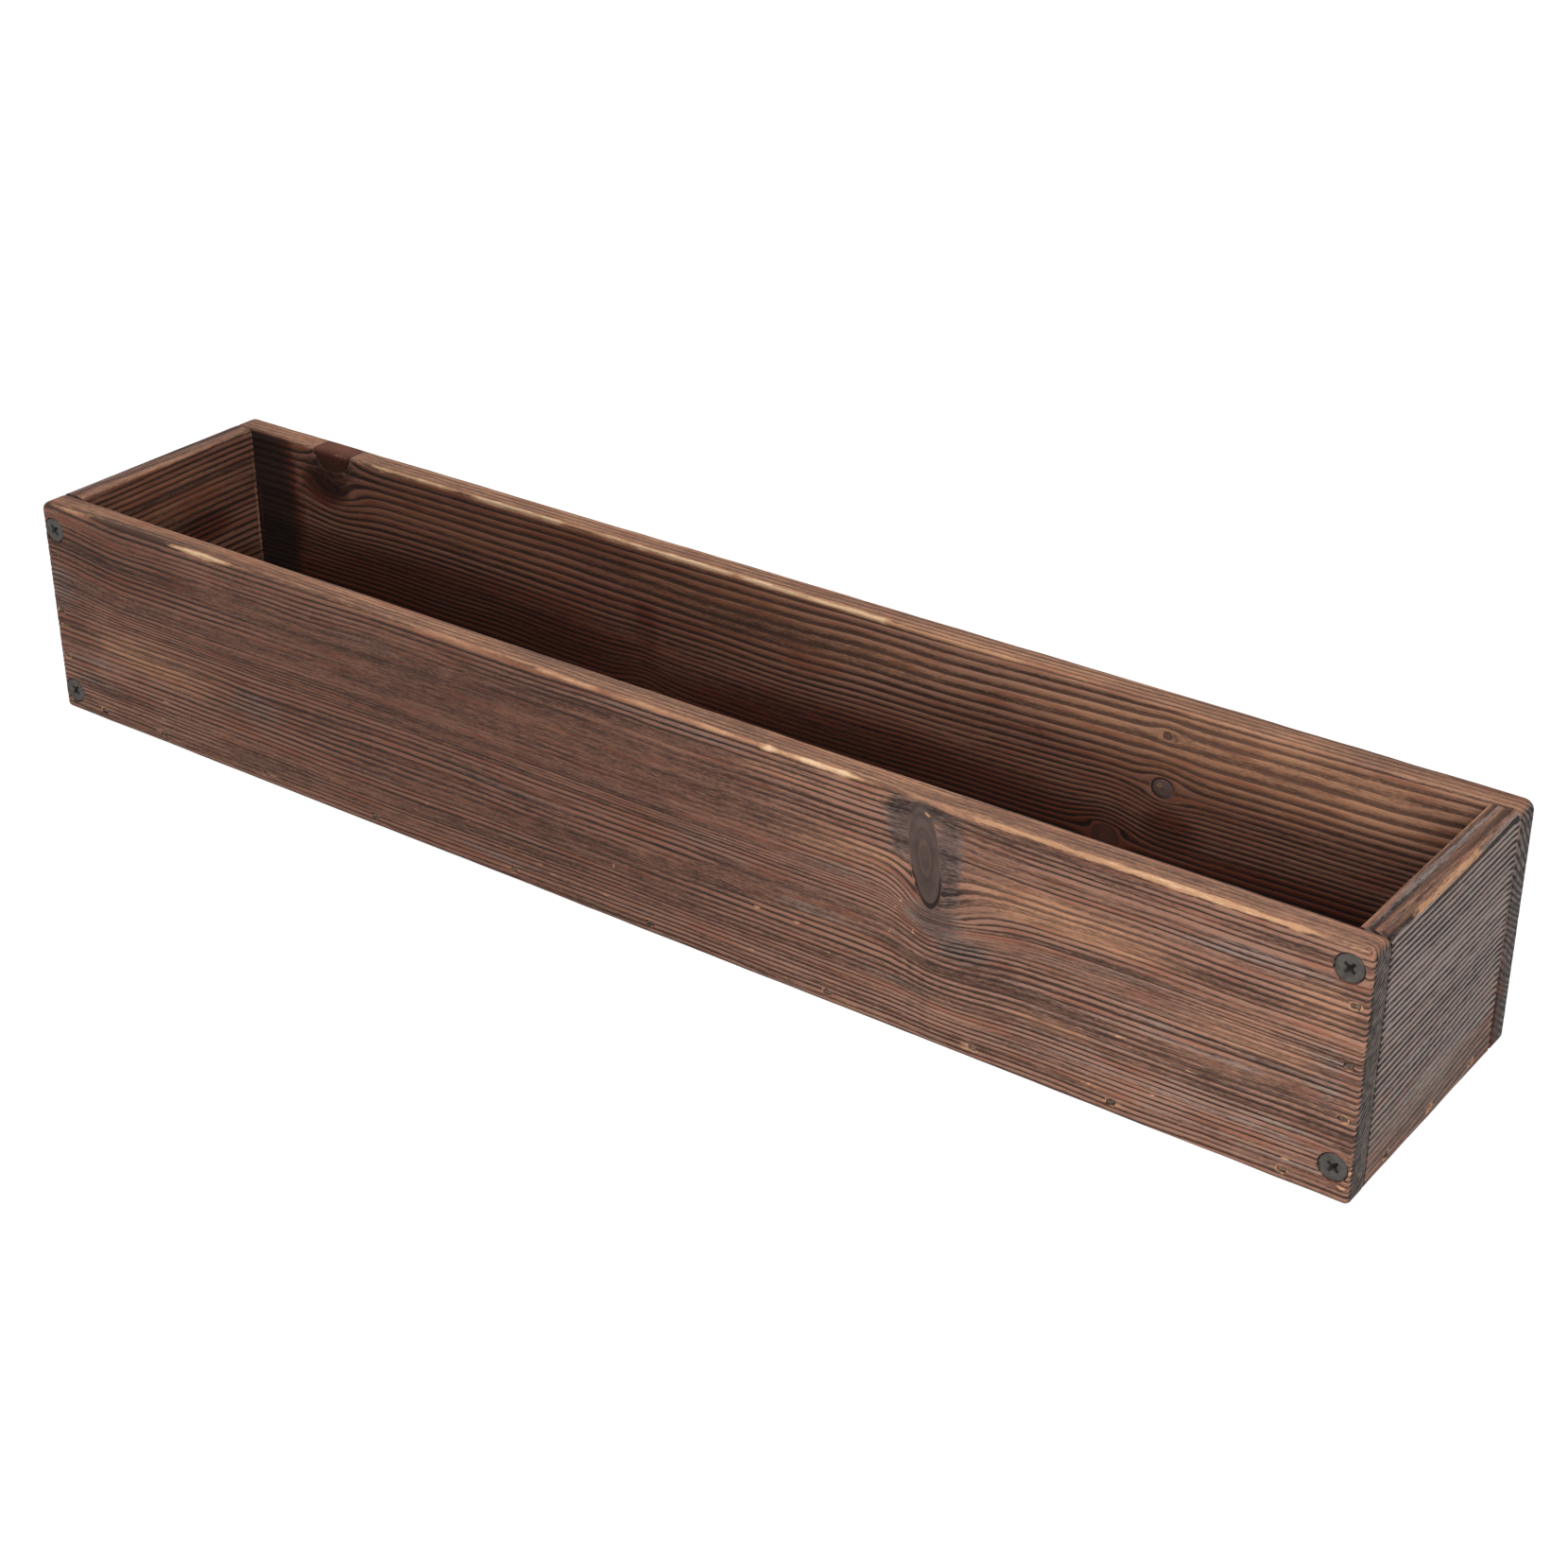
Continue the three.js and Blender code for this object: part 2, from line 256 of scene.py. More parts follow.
class Board:
    """A board's places in the planter, its grain and the fields that shape and colour its surface."""

    def __init__(self, node, along, across, outward, wood):
        low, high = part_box(node)
        self.node, self.wood = node, wood
        self.low, self.high = np.array(low) / MM, np.array(high) / MM
        self.along, self.across = along, across
        self.through = 3 - along - across
        self.outward = outward
        self.thickness = (self.high - self.low)[self.through]
        self.top = self.high[across]
        self.waves, self.years, self.bands = (Noise(wood.seed + i) for i in range(3))
        self.pins = []

    def places(self, points):
        """u, v and w of points in the planter."""
        face = (self.high if self.outward > 0 else self.low)[self.through]
        inwards = (face - points[:, self.through]) * self.outward
        return points[:, self.along], points[:, self.across], inwards

    def on_side(self, w, side):
        """1 where a mark on this side of the board reaches, and 0 on the other side."""
        if side == "both":
            return np.ones_like(w)
        outside = w < self.thickness / 2
        return np.where(outside if side == "outside" else ~outside, 1.0, 0.0)

    def flow(self, u, v):
        """Where a place lies across the board once knots and waves in the grain are undone."""
        across = v + self.wood.wave * (self.waves(u / 95.0, v / 55.0) - 0.5)
        across = across + 0.3 * self.wood.wave * (self.waves(u / 31.0 + 9.0, v / 17.0) - 0.5)
        uneven = 0.05 * self.wood.wave * (1.0 - self.wood.even)
        across = across + uneven * (self.waves(u / 9.0 + 5.0, v / 6.0) - 0.5)
        for sweep in self.wood.sweeps:
            across = across - sweep.climb(u, v)
        for knot in self.wood.knots:
            across = across + knot.bend(u, v)
        return across

    def rings(self, u, across, w):
        """The number of years from the tree's middle, with good years and lean ones."""
        pith_v, pith_w = self.wood.pith
        count = np.hypot(across - pith_v - self.wood.tilt * u, w - pith_w) / self.wood.pitch
        for low, high, more in self.wood.dense:
            count = count + more * smooth((across - low) / (high - low)) * np.sign(np.mean(across) - pith_v)
        uneven = 1.0 - 0.7 * self.wood.even
        return count + uneven * (2.0 * self.years(count / 6.3, 0.5) + 0.5 * self.years(count / 1.9, 7.5))

    def strength(self, rings, u):
        """How strongly each ring shows, which also comes and goes along it."""
        own = self.bands(rings * 0.97, u / 85.0)
        along = self.bands(rings * 0.41 + 31.0, u / 23.0)
        least = max(0.1, self.wood.even)
        return least + (1.0 - least) * smooth((0.62 * own + 0.38 * along - 0.2) / 0.5)

    def marked(self, kind, u, v, w, sharp=2.0):
        """The strongest of the soft marks of one kind at each place."""
        most = np.zeros_like(u)
        for mark in self.wood.marks:
            if mark.kind == kind:
                across = w if mark.side == "top" else v
                far = ((u - mark.u) / mark.half_length) ** 2 + ((across - mark.v) / mark.half_height) ** 2
                if mark.side == "top":
                    here = smooth((v - self.top + 2.2) / 1.2)
                else:
                    here = self.on_side(w, mark.side) * smooth((self.top + 0.2 - v) / 1.2)
                most = np.maximum(most, mark.amount * np.exp(-(far**sharp)) * here)
        return most

    def flecks(self, u, v, w):
        """1 inside the small torn or bare spots, with ragged ends."""
        most = np.zeros_like(u)
        ragged = 0.9 * (self.bands(u / 0.9, v / 0.5) - 0.5)
        for mark in self.wood.marks:
            if mark.kind == "fleck":
                far = np.hypot((u - mark.u) / mark.half_length, (v - mark.v) / mark.half_height)
                spot = smooth((1.0 - 1.25 * far - ragged) / 0.5) * self.on_side(w, mark.side)
                most = np.maximum(most, 0.72 * mark.amount * spot)
        return most

    def torn(self, u, v, w):
        """The wood round the brads: the torn lip, and the crushed hollow inside it."""
        lip, hollow = np.zeros_like(u), np.zeros_like(u)
        outside = self.on_side(w, "outside")
        for pin_u, pin_v in self.pins:
            wobble = 0.3 * (self.bands(u / 0.8 + pin_u, v / 0.6) - 0.5)
            far = np.hypot((u - pin_u) / 1.5, (v - pin_v) / 1.05) + wobble
            uneven = self.bands(u / 1.3 + 3.0 * pin_u, v / 1.1 + pin_v)
            ringed = np.exp(-(((far - 1.15) / 0.28) ** 2)) * outside
            lip = np.maximum(lip, smooth(uneven * 2.2 - 0.5) * ringed)
            hollow = np.maximum(hollow, np.exp(-((far / 1.05) ** 4)) * outside)
        return lip, hollow

    def edge_distances(self, v, w):
        up, down, through = self.top - v, v - self.low[self.across], self.thickness - w
        return {
            "top_outside": np.hypot(up, w),
            "top_inside": np.hypot(up, through),
            "bottom_outside": np.hypot(down, w),
            "bottom_inside": np.hypot(down, through),
        }

    def worn(self, u, v, w):
        """1 where an arris is down to bare wood, and the light wear along every arris."""
        edges = self.edge_distances(v, w)
        nearest = np.minimum.reduce(list(edges.values()))
        patchy = smooth((self.waves(u / 13.0, 3.5) + 0.5 * self.waves(u / 2.7, 8.5) - 0.42) / 0.6)
        most = self.wood.wear * patchy * smooth((1.7 - nearest) / 1.2)
        ragged = 0.9 * (self.bands(u / 1.9, 4.5) - 0.5) + 0.4 * (self.bands(u / 0.7, 6.5) - 0.5)
        for sliver in self.wood.slivers:
            ends = np.minimum(u - sliver.start, sliver.end - u)
            width = sliver.width * np.sqrt(np.clip(ends / 7.0, 0.0, 1.0))
            reach = smooth((width + ragged - edges[sliver.edge]) / 0.8) * (ends > 0)
            uneven = 0.75 + 0.4 * self.bands(u / 6.3, (v + w) / 0.42)
            most = np.maximum(most, sliver.amount * reach * np.minimum(uneven, 1.0))
        return most

    def knot_fields(self, u, v, w):
        """For the nearest knot: how far out of it a place is, its gap, shade, own grain and dip."""
        rim = np.full_like(u, 3.0)
        opened, shade, around, sunk = (np.zeros_like(u) for _ in range(4))
        for knot in self.wood.knots:
            oval = knot.oval(u, v) + 0.05 * (self.bands(u / 3.3, v / 5.9) - 0.5)
            away = (oval - 1.0) * min(knot.half_length, knot.half_height)
            away = np.where(self.on_side(w, knot.side) > 0, away, 3.0)
            uneven = self.bands(u / 5.0 + 3.0, v / 7.0)
            gap = smooth(uneven * 2.2 - 0.1) * smooth((knot.closed_above - v) / 5.0)
            here = away < rim
            rim = np.where(here, away, rim)
            opened = np.where(here, knot.crack * gap, opened)
            shade = np.where(here, knot.shade, shade)
            around = np.where(here, oval * knot.half_length, around)
            sunk = np.where(here, knot.sunk, sunk)
        return rim, opened, shade, around, sunk

    def surface(self, points, normals):
        """Every field that shapes or colours the surface, by name."""
        u, v, w = self.places(points)
        facing = normals**2
        face, side, end = (facing[:, axis] for axis in (self.through, self.across, self.along))
        inner = w > self.thickness / 2
        across = self.flow(u, v)
        rings = self.rings(u, across, w)
        strength = self.strength(rings, u)
        rim, opened, shade, around, sunk = self.knot_fields(u, v, w)
        knotty = smooth(0.5 - rim / 0.6)
        calm = self.marked("calm", u, v, w)
        patchy = 0.7 + 0.3 * self.waves(u / 38.0, v / 9.0)
        relief = (1.0 - calm) * patchy * (1 - knotty) * (1.0 - 0.6 * side)
        strength = strength * (1.0 - 0.8 * knotty)
        ahead = np.abs(self.rings(u, across + 0.4, w) - rings)
        coarse = np.where(side < 0.5, smooth((0.4 / np.maximum(ahead, 1e-3) - 0.55) / 0.7), 1.0)
        deepest = np.where(inner, self.wood.inside_depth, self.wood.depth)
        depth = relief * strength * coarse * (face * deepest + side * SIDE_DEPTH + end * END_DEPTH)
        crest = np.where(inner, self.wood.inside_crest, self.wood.crest)
        ridge = years_profile(rings, crest)
        flecks, worn = self.flecks(u, v, w), self.worn(u, v, w)
        lip, hollow = self.torn(u, v, w)
        short, long = FINE_DEPTHS
        fine = short * self.bands(u / 3.7, across / 0.5) + long * self.bands(u / 14.0, across / 0.9)
        down = depth * (1 - ridge) + fine * (1 - knotty) + sunk * knotty * face
        arris = np.minimum.reduce(list(self.edge_distances(v, w).values()))
        down = down + ARRIS_DEPTH * self.waves(u / 11.0 + 2.0, 1.5) * np.exp(-((arris / 1.3) ** 2))
        down = down + GAP_DEPTH * opened * np.exp(-((rim / 0.42) ** 2)) * face
        down = down + FLECK_DEPTH * flecks + WORN_DEPTH * np.maximum(worn - 0.35, 0.0)
        down = down * (1 - 0.9 * lip) + HOLLOW_DEPTH * hollow
        tone = self.years(rings * 0.83 + 40.0, u / 120.0)
        # The warm marks also carry painted light: some lighten the top faces and the upper inside faces.
        warm_and_lit = np.maximum(self.marked("warm_and_lit", u, v, w), 0.8 * lip)
        # Char, and painted shade where the inside marks darken the lower part of the trough.
        char = np.maximum(self.marked("char", u, v, w), 0.85 * hollow * (1 - lip))
        bare = np.maximum(np.maximum(flecks, worn), 0.5 * lip)
        own_grain = np.where(knotty > 0.5, [v, around, w], [u, across, w]).T
        return {
            "down": np.maximum(down, 0.0),
            "ring": np.where(knotty > 0.5, around * 0.8, rings),
            "rim": np.clip(rim, -3.0, 3.0),
            "grain": own_grain,
            "line": np.stack([strength * self.wood.contrast, tone, crest], axis=1),
            "finish": np.stack([bare, self.marked("slate", u, v, w), warm_and_lit, char], axis=1),
            "figure": np.stack([opened, shade, end, relief], axis=1),
        }


# ---- the boards themselves

FRONT_WOOD = Wood(
    seed=11, pitch=1.45, pith=(226, -162), tilt=0.004, wave=2.6, depth=0.36, inside_depth=0.4, contrast=1.4,
    sweeps=(
        Sweep(-252, -212, -3.4, 52, 100), Sweep(-160, -70, 1.2, 40, 70), Sweep(180, 250, 1.6, -20, 30),
    ),
    knots=(
        Knot(
            116.2, 62, 5.1, 16.4, push=10, reach=(10, 21), fade=16, lean=-0.11, shade=0.3, closed_above=60,
            above=0.12,
        ),
    ),
    marks=marks({
        ("calm", "outside"): (
            (-75, 58, 82, 19, 0.9), (25, 57, 66, 16, 0.85), (165, 57, 40, 6, 0.35),
            (108.6, 71, 6.2, 13.5, 0.95), (115, 77, 10, 5, 0.95), (124, 63, 5.4, 19, 0.95),
            (120, 42.5, 10, 7, 0.85),
        ),
        ("slate", "outside"): (
            (-249, 48, 9, 13, 0.7), (-238, 20, 14, 10, 0.5), (-156, 27, 15, 8, 0.55), (-95, 68, 30, 1.6, 0.5),
            (-35, 33, 36, 2, 0.5), (-42, 7.5, 24, 2.2, 0.6), (-46, 16.7, 22, 1.3, 0.5),
            (-104, 20.5, 14, 2.5, 0.45), (25, 76.5, 36, 1.6, 0.7), (36, 42, 15, 3.4, 0.55),
            (82, 47.5, 18, 2.4, 0.55), (66, 38, 26, 2, 0.5), (78, 30.5, 22, 2.6, 0.6),
            (108, 18.5, 26, 2, 0.5), (20, 7, 22, 1.8, 0.5), (108.6, 71, 6.2, 13.5, 1.1),
            (115, 77, 10, 5, 1.1), (124, 63, 5.4, 19, 1.1), (120, 42.5, 10, 7, 1.1), (130, 35, 11, 4.6, 1),
            (220, 66.5, 28, 5, 0.6), (161, 43, 8, 1.8, 0.5), (178, 45.5, 16, 3, 0.5), (195, 33, 9, 3.4, 0.7),
            (245, 38, 6, 12, 0.7), (211, 17, 36, 1.8, 0.5), (227, 7, 22, 2.4, 0.5), (205, 24, 70, 24, 0.36),
        ),
        ("char", "outside"): (
            (-70, 48, 190, 70, 0.52), (165, 64, 100, 36, 0.28), (-242, 40, 16, 34, 0.45),
            (108.6, 71, 6.2, 13.5, 0.57), (115, 77, 10, 5, 0.5), (124, 63, 5.4, 19, 0.56),
            (120, 42.5, 10, 7, 0.6), (130, 35, 11, 4.6, 0.48), (-215, 66, 60, 18, 0.6),
            (90, 78.6, 30, 1, 0.4),
        ),
        ("warm_and_lit", "outside"): (
            (-200, 32, 34, 8, 0.7), (-198, 74.6, 20, 0.9, 0.4), (68, 72.5, 36, 2.4, 0.4),
            (85, 56, 24, 5, 0.7), (166, 57, 36, 5.6, 0.95), (222, 40.5, 23, 4.4, 0.5),
            (222, 28, 23, 2.8, 0.4), (158, 21.5, 17, 2.6, 0.5), (241, 59, 13, 7.5, 0.6),
        ),
        # Partly a lighter top and partly painted light: the whole top face is lightened, as it faces the lamp
        # overhead.
        ("warm_and_lit", "top"): ((0, 4, 280, 6, 0.8),),
        ("char", "top"): ((-170, 5, 90, 8, 0.3),),
        ("fleck", "outside"): (
            (-236, 64.6, 2.2, 0.6, 0.4), (-233, 59.6, 6.5, 0.6, 0.4), (-213, 69.2, 2.2, 0.6, 0.4),
            (-250.7, 38.7, 2.6, 1.1, 0.8), (-250.9, 33.4, 2.2, 0.7, 0.8), (-200.7, 17, 1.6, 0.7, 0.7),
            (-189, 15.8, 1.5, 0.5, 0.6), (-176, 16.2, 1.3, 0.5, 0.6), (-228, 8, 2.3, 0.5, 0.5),
            (-218, 9.5, 1.8, 0.6, 0.5), (-202.3, 9.8, 1.7, 0.5, 0.7), (-133, 39.6, 3.6, 0.35, 0.5),
            (-126, 15.9, 1.7, 0.6, 0.7), (-99.8, 27.7, 1.3, 0.7, 0.7), (-78, 16.4, 1.8, 0.5, 0.7),
            (-59.4, 15.8, 0.9, 0.5, 0.6), (-41, 11.8, 1.9, 0.6, 0.9), (-28.6, 9.8, 1.6, 0.5, 0.8),
            (-25, 8, 1.5, 0.4, 0.6), (-13.2, 18.5, 1.6, 0.4, 0.7), (-8.6, 8.2, 1.2, 0.4, 0.7),
            (-2, 8, 1.6, 0.6, 0.7), (1.4, 19.6, 1.1, 1.2, 0.6), (18.9, 23.9, 1.3, 0.4, 0.8),
            (45.2, 43.8, 0.7, 0.6, 0.7), (49.3, 32.9, 1.2, 0.6, 0.7), (56.4, 24.2, 2.4, 0.6, 0.8),
            (71, 24.2, 1.8, 0.6, 0.9), (82, 17.9, 2.6, 0.4, 0.6), (54.7, 8.4, 1.4, 0.7, 0.5),
            (108, 44.6, 0.6, 0.8, 0.8), (106.4, 42, 1, 0.4, 0.8), (113.2, 40.5, 0.6, 2.4, 0.7),
            (104.8, 33.2, 0.7, 0.9, 0.7), (112.6, 36, 0.8, 1.4, 0.7), (117, 75.6, 2, 1, 0.5),
            (182.8, 34.6, 1.3, 0.4, 0.6), (174.4, 29.4, 0.8, 0.5, 0.9), (181.5, 26.4, 1.6, 0.7, 0.8),
            (184.8, 24.6, 1.4, 0.4, 0.7), (203.6, 24, 2.2, 0.4, 0.8), (169, 24.6, 1.6, 0.3, 0.6),
            (186.8, 13.4, 1, 0.4, 0.8), (192.8, 11.7, 1.1, 0.6, 0.7), (173.2, 7.2, 3.6, 0.45, 0.8),
            (201.5, 5.6, 1.8, 0.3, 0.7), (234.2, 7.6, 2.2, 0.6, 0.7), (234, 43.7, 2.6, 0.8, 0.4),
            (240, 64.7, 9, 0.35, 0.35), (243, 61.9, 8, 0.35, 0.4), (238, 57.2, 8, 0.35, 0.35),
            (251.3, 5.3, 2.2, 0.7, 0.8), (252.9, 10.9, 0.9, 1.6, 0.7),
        ),
    }),
    slivers=slivers({
        "top_outside": (
            (-250, -229, 1.7, 0.5), (-192, -158, 2, 0.8), (-30, 0.5, 1.7, 0.7), (7, 28, 1.5, 0.5),
            (31, 52.5, 1.6, 0.6), (55.5, 69, 2.2, 1), (64, 96, 2, 0.85), (95, 110, 1.2, 0.35),
            (124, 180, 1.8, 0.5), (172, 240, 1.9, 0.62), (243, 253.5, 1.7, 0.55),
        ),
        "top_inside": ((-200, 60, 1.2, 0.3),),
        "bottom_outside": ((-253, -240, 1.6, 0.7),),
    }),
)

BACK_WOOD = Wood(
    seed=23, pitch=1.8, pith=(223, -165), tilt=0.006, wave=3.4, depth=0.42, inside_depth=0.45, crest=0.2,
    inside_crest=0.4, even=0.4, contrast=1.7, dense=((28, 56, 2.6),),
    sweeps=(
        Sweep(-190, -60, -3, 30, 60), Sweep(60, 200, 3, 40, 100),
    ),
    knots=(
        Knot(-203.8, 80.6, 8.6, 8.2, push=6.5, reach=(11, 13), fade=10, shade=1, parting=-8),
        Knot(141.8, 51.6, 3.8, 3.4, push=2.6, reach=(7, 9), fade=8, side="inside", shade=0.2, sunk=0.3),
        Knot(142.3, 69.8, 1.5, 1.2, push=1.2, reach=(5, 6), fade=4, side="inside", shade=0.6, crack=0.4),
        Knot(123, 29, 4.6, 3.8, push=4, reach=(9, 9), fade=9, side="inside", shade=0.8, crack=0.5),
        Knot(-61, 22, 6.2, 5, push=4, reach=(10, 12), fade=11, side="outside", shade=0.5),
    ),
    marks=marks({
        ("calm", "inside"): ((-232, 50, 20, 40, 0.7), (-40, 32, 90, 18, 0.4), (-207, 68, 15, 10, 1)),
        ("calm", "outside"): ((60, 40, 90, 24, 0.5),),
        # Partly char and partly painted shade: the inside face darkens towards the bottom of the trough and
        # into the corner by the left end board.
        ("char", "inside"): (
            (-238, 40, 18, 70, 1.45), (-140, 20, 150, 42, 1), (-110, 60, 170, 90, 0.66),
            (130, 40, 150, 30, 0.62), (-208, 66, 15, 10, 1), (-58, 50, 10, 18, 0.8), (-110, 55, 30, 6, 0.65),
            (40, 16, 170, 36, 1), (145, 36, 16, 13, 0.85), (190, 10, 90, 34, 1.05),
        ),
        ("calm", "both"): ((253, 40, 4, 60, 0.85),),
        ("slate", "both"): ((253, 40, 4, 60, 0.8),),
        # Partly a lighter top and partly painted light: the whole top face is lightened, as it faces the lamp
        # overhead.
        ("warm_and_lit", "top"): ((0, 5, 280, 7, 1),),
        ("slate", "inside"): (
            (-212, 70, 5, 8, 0.7), (-194, 77, 3, 4, 0.6), (-152, 77, 30, 3, 0.5), (52, 76, 12, 3, 0.5),
            (136.4, 50, 2.4, 1.8, 0.7),
        ),
        # Painted light: the upper band of the inside face is lighter, the more so towards the right.
        ("warm_and_lit", "inside"): ((-140, 66, 56, 12, 0.45), (0, 68, 74, 10, 0.6), (170, 68, 74, 15, 0.9)),
        ("slate", "outside"): ((120, 60, 60, 6, 0.6), (-140, 20, 50, 5, 0.6)),
        ("warm_and_lit", "outside"): ((-20, 50, 60, 9, 0.7), (190, 30, 30, 6, 0.6)),
        ("fleck", "inside"): (
            (127.6, 55.8, 4, 0.3, 0.9), (141, 52.6, 2.6, 2, 0.35), (-243.2, 46, 0.9, 40, 0.7),
        ),
    }),
    slivers=slivers({
        "top_inside": (
            (-189, -140, 1.7, 0.75), (-138, -90, 2.1, 0.9), (-84, 46, 1.9, 0.85), (62, 110, 1.4, 0.6),
        ),
        "top_outside": ((-120, -70, 1.6, 0.6), (20, 96, 1.8, 0.6), (170, 232, 1.5, 0.5)),
    }),
)

RIGHT_WOOD = Wood(
    seed=37, pitch=1.9, pith=(-131, 108), tilt=0.012, wave=1.6, depth=0.65, inside_depth=0.4, crest=0.06,
    inside_crest=0.4, even=0.9, contrast=3.2, wear=0.25,
    sweeps=(
        Sweep(-45, 45, 4, -40, 30, 22),
    ),
    marks=marks({
        ("calm", "outside"): ((-12, 5, 70, 19, 0.85),),
        # Painted sheen: the first mark greys the whole outside face like the sheen of burnt ridges; the two
        # smaller ones are the wood's own grey.
        ("slate", "outside"): ((0, 54, 120, 53, 1.25), (22, 14, 44, 8, 0.55), (-6, 4, 60, 9, 0.45)),
        ("warm_and_lit", "outside"): ((-12, 76.5, 34, 2, 0.7), (-10, 30, 30, 7, 0.3), (-32, 25, 10, 3.4, 0.4)),
        ("char", "outside"): ((40.5, 50, 1.3, 34, 0.4), (-40.5, 50, 1, 34, 0.4)),
        ("slate", "top"): ((0, 6.8, 60, 1.3, 1), (0, 3.4, 60, 0.5, 0.8)),
        ("warm_and_lit", "top"): ((0, 4.8, 60, 0.8, 0.7), (-6, 2, 34, 0.9, 1), (0, 9.2, 60, 0.6, 0.9)),
        ("char", "top"): ((0, 0.5, 60, 0.5, 0.4),),
        ("calm", "top"): ((0, 5, 60, 7, 0.8),),
        ("fleck", "outside"): (
            (-28.5, 2.6, 2, 0.7, 0.7), (-0.5, 2.7, 2.2, 0.8, 0.8), (26.5, 3.4, 1.9, 0.9, 0.6),
            (38.8, 10, 1.1, 3, 0.4),
        ),
    }),
    slivers=slivers({
        "top_outside": ((-32, 24, 2.2, 0.44),),
        "top_inside": ((-40, 36, 1, 0.45),),
    }),
)

LEFT_WOOD = Wood(
    seed=41, pitch=2.1, pith=(-130, -100), tilt=-0.01, wave=2.2, depth=0.5, inside_depth=0.35, crest=0.25,
    inside_crest=0.5, even=0.2, contrast=1.4,
    sweeps=(
        Sweep(-40, 40, 2, 30, 90),
    ),
    marks=marks({
        # Partly char and partly painted shade: the inside face darkens towards the bottom of the trough and
        # at the corner by the back board.
        ("char", "inside"): (
            (14, 50, 18, 8, 0.95), (0, 64, 70, 50, 0.66), (0, 20, 60, 28, 0.95), (39, 70, 3, 12, 0.6),
        ),
        ("fleck", "inside"): ((40.2, 44, 0.7, 42, 0.6),),
        # Painted light: the upper part of the inside face is lighter.
        ("warm_and_lit", "inside"): ((-10, 66, 40, 12, 0.6),),
        ("slate", "outside"): ((-6, 58, 40, 9, 0.6),),
        ("warm_and_lit", "outside"): ((8, 28, 28, 8, 0.6),),
        ("slate", "top"): ((0, 3, 60, 1.6, 0.8),),
        ("warm_and_lit", "top"): ((0, 8.4, 60, 1.2, 0.6),),
        ("fleck", "outside"): ((-28, 2.8, 2, 0.8, 0.7), (0.4, 2.6, 2, 0.7, 0.7), (27.6, 3, 1.8, 0.8, 0.7)),
    }),
    slivers=slivers({
        "top_outside": ((-34, 12, 1.6, 0.6),),
        "top_inside": ((-38, 36, 1.1, 0.45),),
    }),
)

BOTTOM_WOOD = Wood(
    seed=53, pitch=1.7, pith=(-4, 74), tilt=0.02, wave=7, depth=0.36, inside_depth=0.32, crest=0.3,
    inside_crest=0.3, wear=0.2,
    knots=(
        Knot(-96, 14, 6.5, 5.2, push=5, reach=(14, 16), fade=12, shade=0.6),
        Knot(205, -22, 5.2, 4.4, push=4, reach=(12, 14), fade=10, shade=0.3),
    ),
    marks=marks({
        # Partly char and partly painted shade: the floor of the trough is darker all over.
        ("char", "inside"): ((0, 0, 300, 60, 0.5),),
        ("slate", "outside"): ((60, 10, 70, 16, 0.6),),
        ("warm_and_lit", "outside"): ((-120, -12, 80, 14, 0.7), (170, 18, 50, 12, 0.6)),
    }),
)


def bisect(bm, axis, places):
    """Cuts every face along planes square to an axis."""
    normal = Vector((0.0, 0.0, 0.0))
    normal[axis] = 1.0
    for place in places:
        geometry = bm.verts[:] + bm.edges[:] + bm.faces[:]
        bmesh.ops.bisect_plane(bm, geom=geometry, dist=1e-5, plane_co=normal * place, plane_no=normal)


def span(edge):
    """An edge's length along each axis."""
    step = edge.verts[1].co - edge.verts[0].co
    return Vector((abs(step.x), abs(step.y), abs(step.z)))


def divide(bm, edges, cuts):
    bmesh.ops.subdivide_edges(bm, edges=edges, cuts=cuts, use_grid_fill=False)


def block(board):
    """A plain box where the board is."""
    bm = bmesh.new()
    bmesh.ops.create_cube(bm, size=1.0)
    bmesh.ops.scale(bm, vec=Vector(board.high - board.low), verts=bm.verts)
    bmesh.ops.translate(bm, vec=Vector((board.low + board.high) / 2), verts=bm.verts)
    return bm


def bevel(bm, edges, offset, segments):
    bmesh.ops.bevel(
        bm, geom=edges, offset=offset, affect="EDGES", segments=segments, profile=0.5, material=-1
    )


def middle_of(edge):
    return (edge.verts[0].co + edge.verts[1].co) / 2


def long_block(board, sizes):
    """A long board's body: rounded upper and lower corners, then every arris eased."""
    bm = block(board)
    middle = (board.low[2] + board.high[2]) / 2
    for radius, upper in ((sizes.top_radius, True), (sizes.lower_radius, False)):
        ends = [e for e in bm.edges if span(e).y > 1 and (middle_of(e).z > middle) == upper]
        corners = [e for e in ends if abs(abs(middle_of(e).x) - board.high[0]) < 1e-3]
        bevel(bm, corners, radius, 6)
    bevel(bm, [e for e in bm.edges if span(e).y < 1e-4], sizes.long_arris, 4)
    return bm


def end_block(board, sizes):
    """An end board's body: its long arrises eased, the outer top one the most."""
    bm = block(board)
    outer = board.high[0] if board.outward > 0 else board.low[0]
    rims = [e for e in bm.edges if span(e).y > 1]
    main = [e for e in rims if middle_of(e).z > board.top - 1 and abs(middle_of(e).x - outer) < 1]
    others = [e for e in rims if e not in main]
    bevel(bm, others, sizes.end_arris, 4)
    main = [e for e in bm.edges if span(e).y > 1 and abs(middle_of(e).x - outer) < 1e-3]
    bevel(bm, [e for e in main if middle_of(e).z > board.top - 1e-3], sizes.end_top_arris, 6)
    return bm


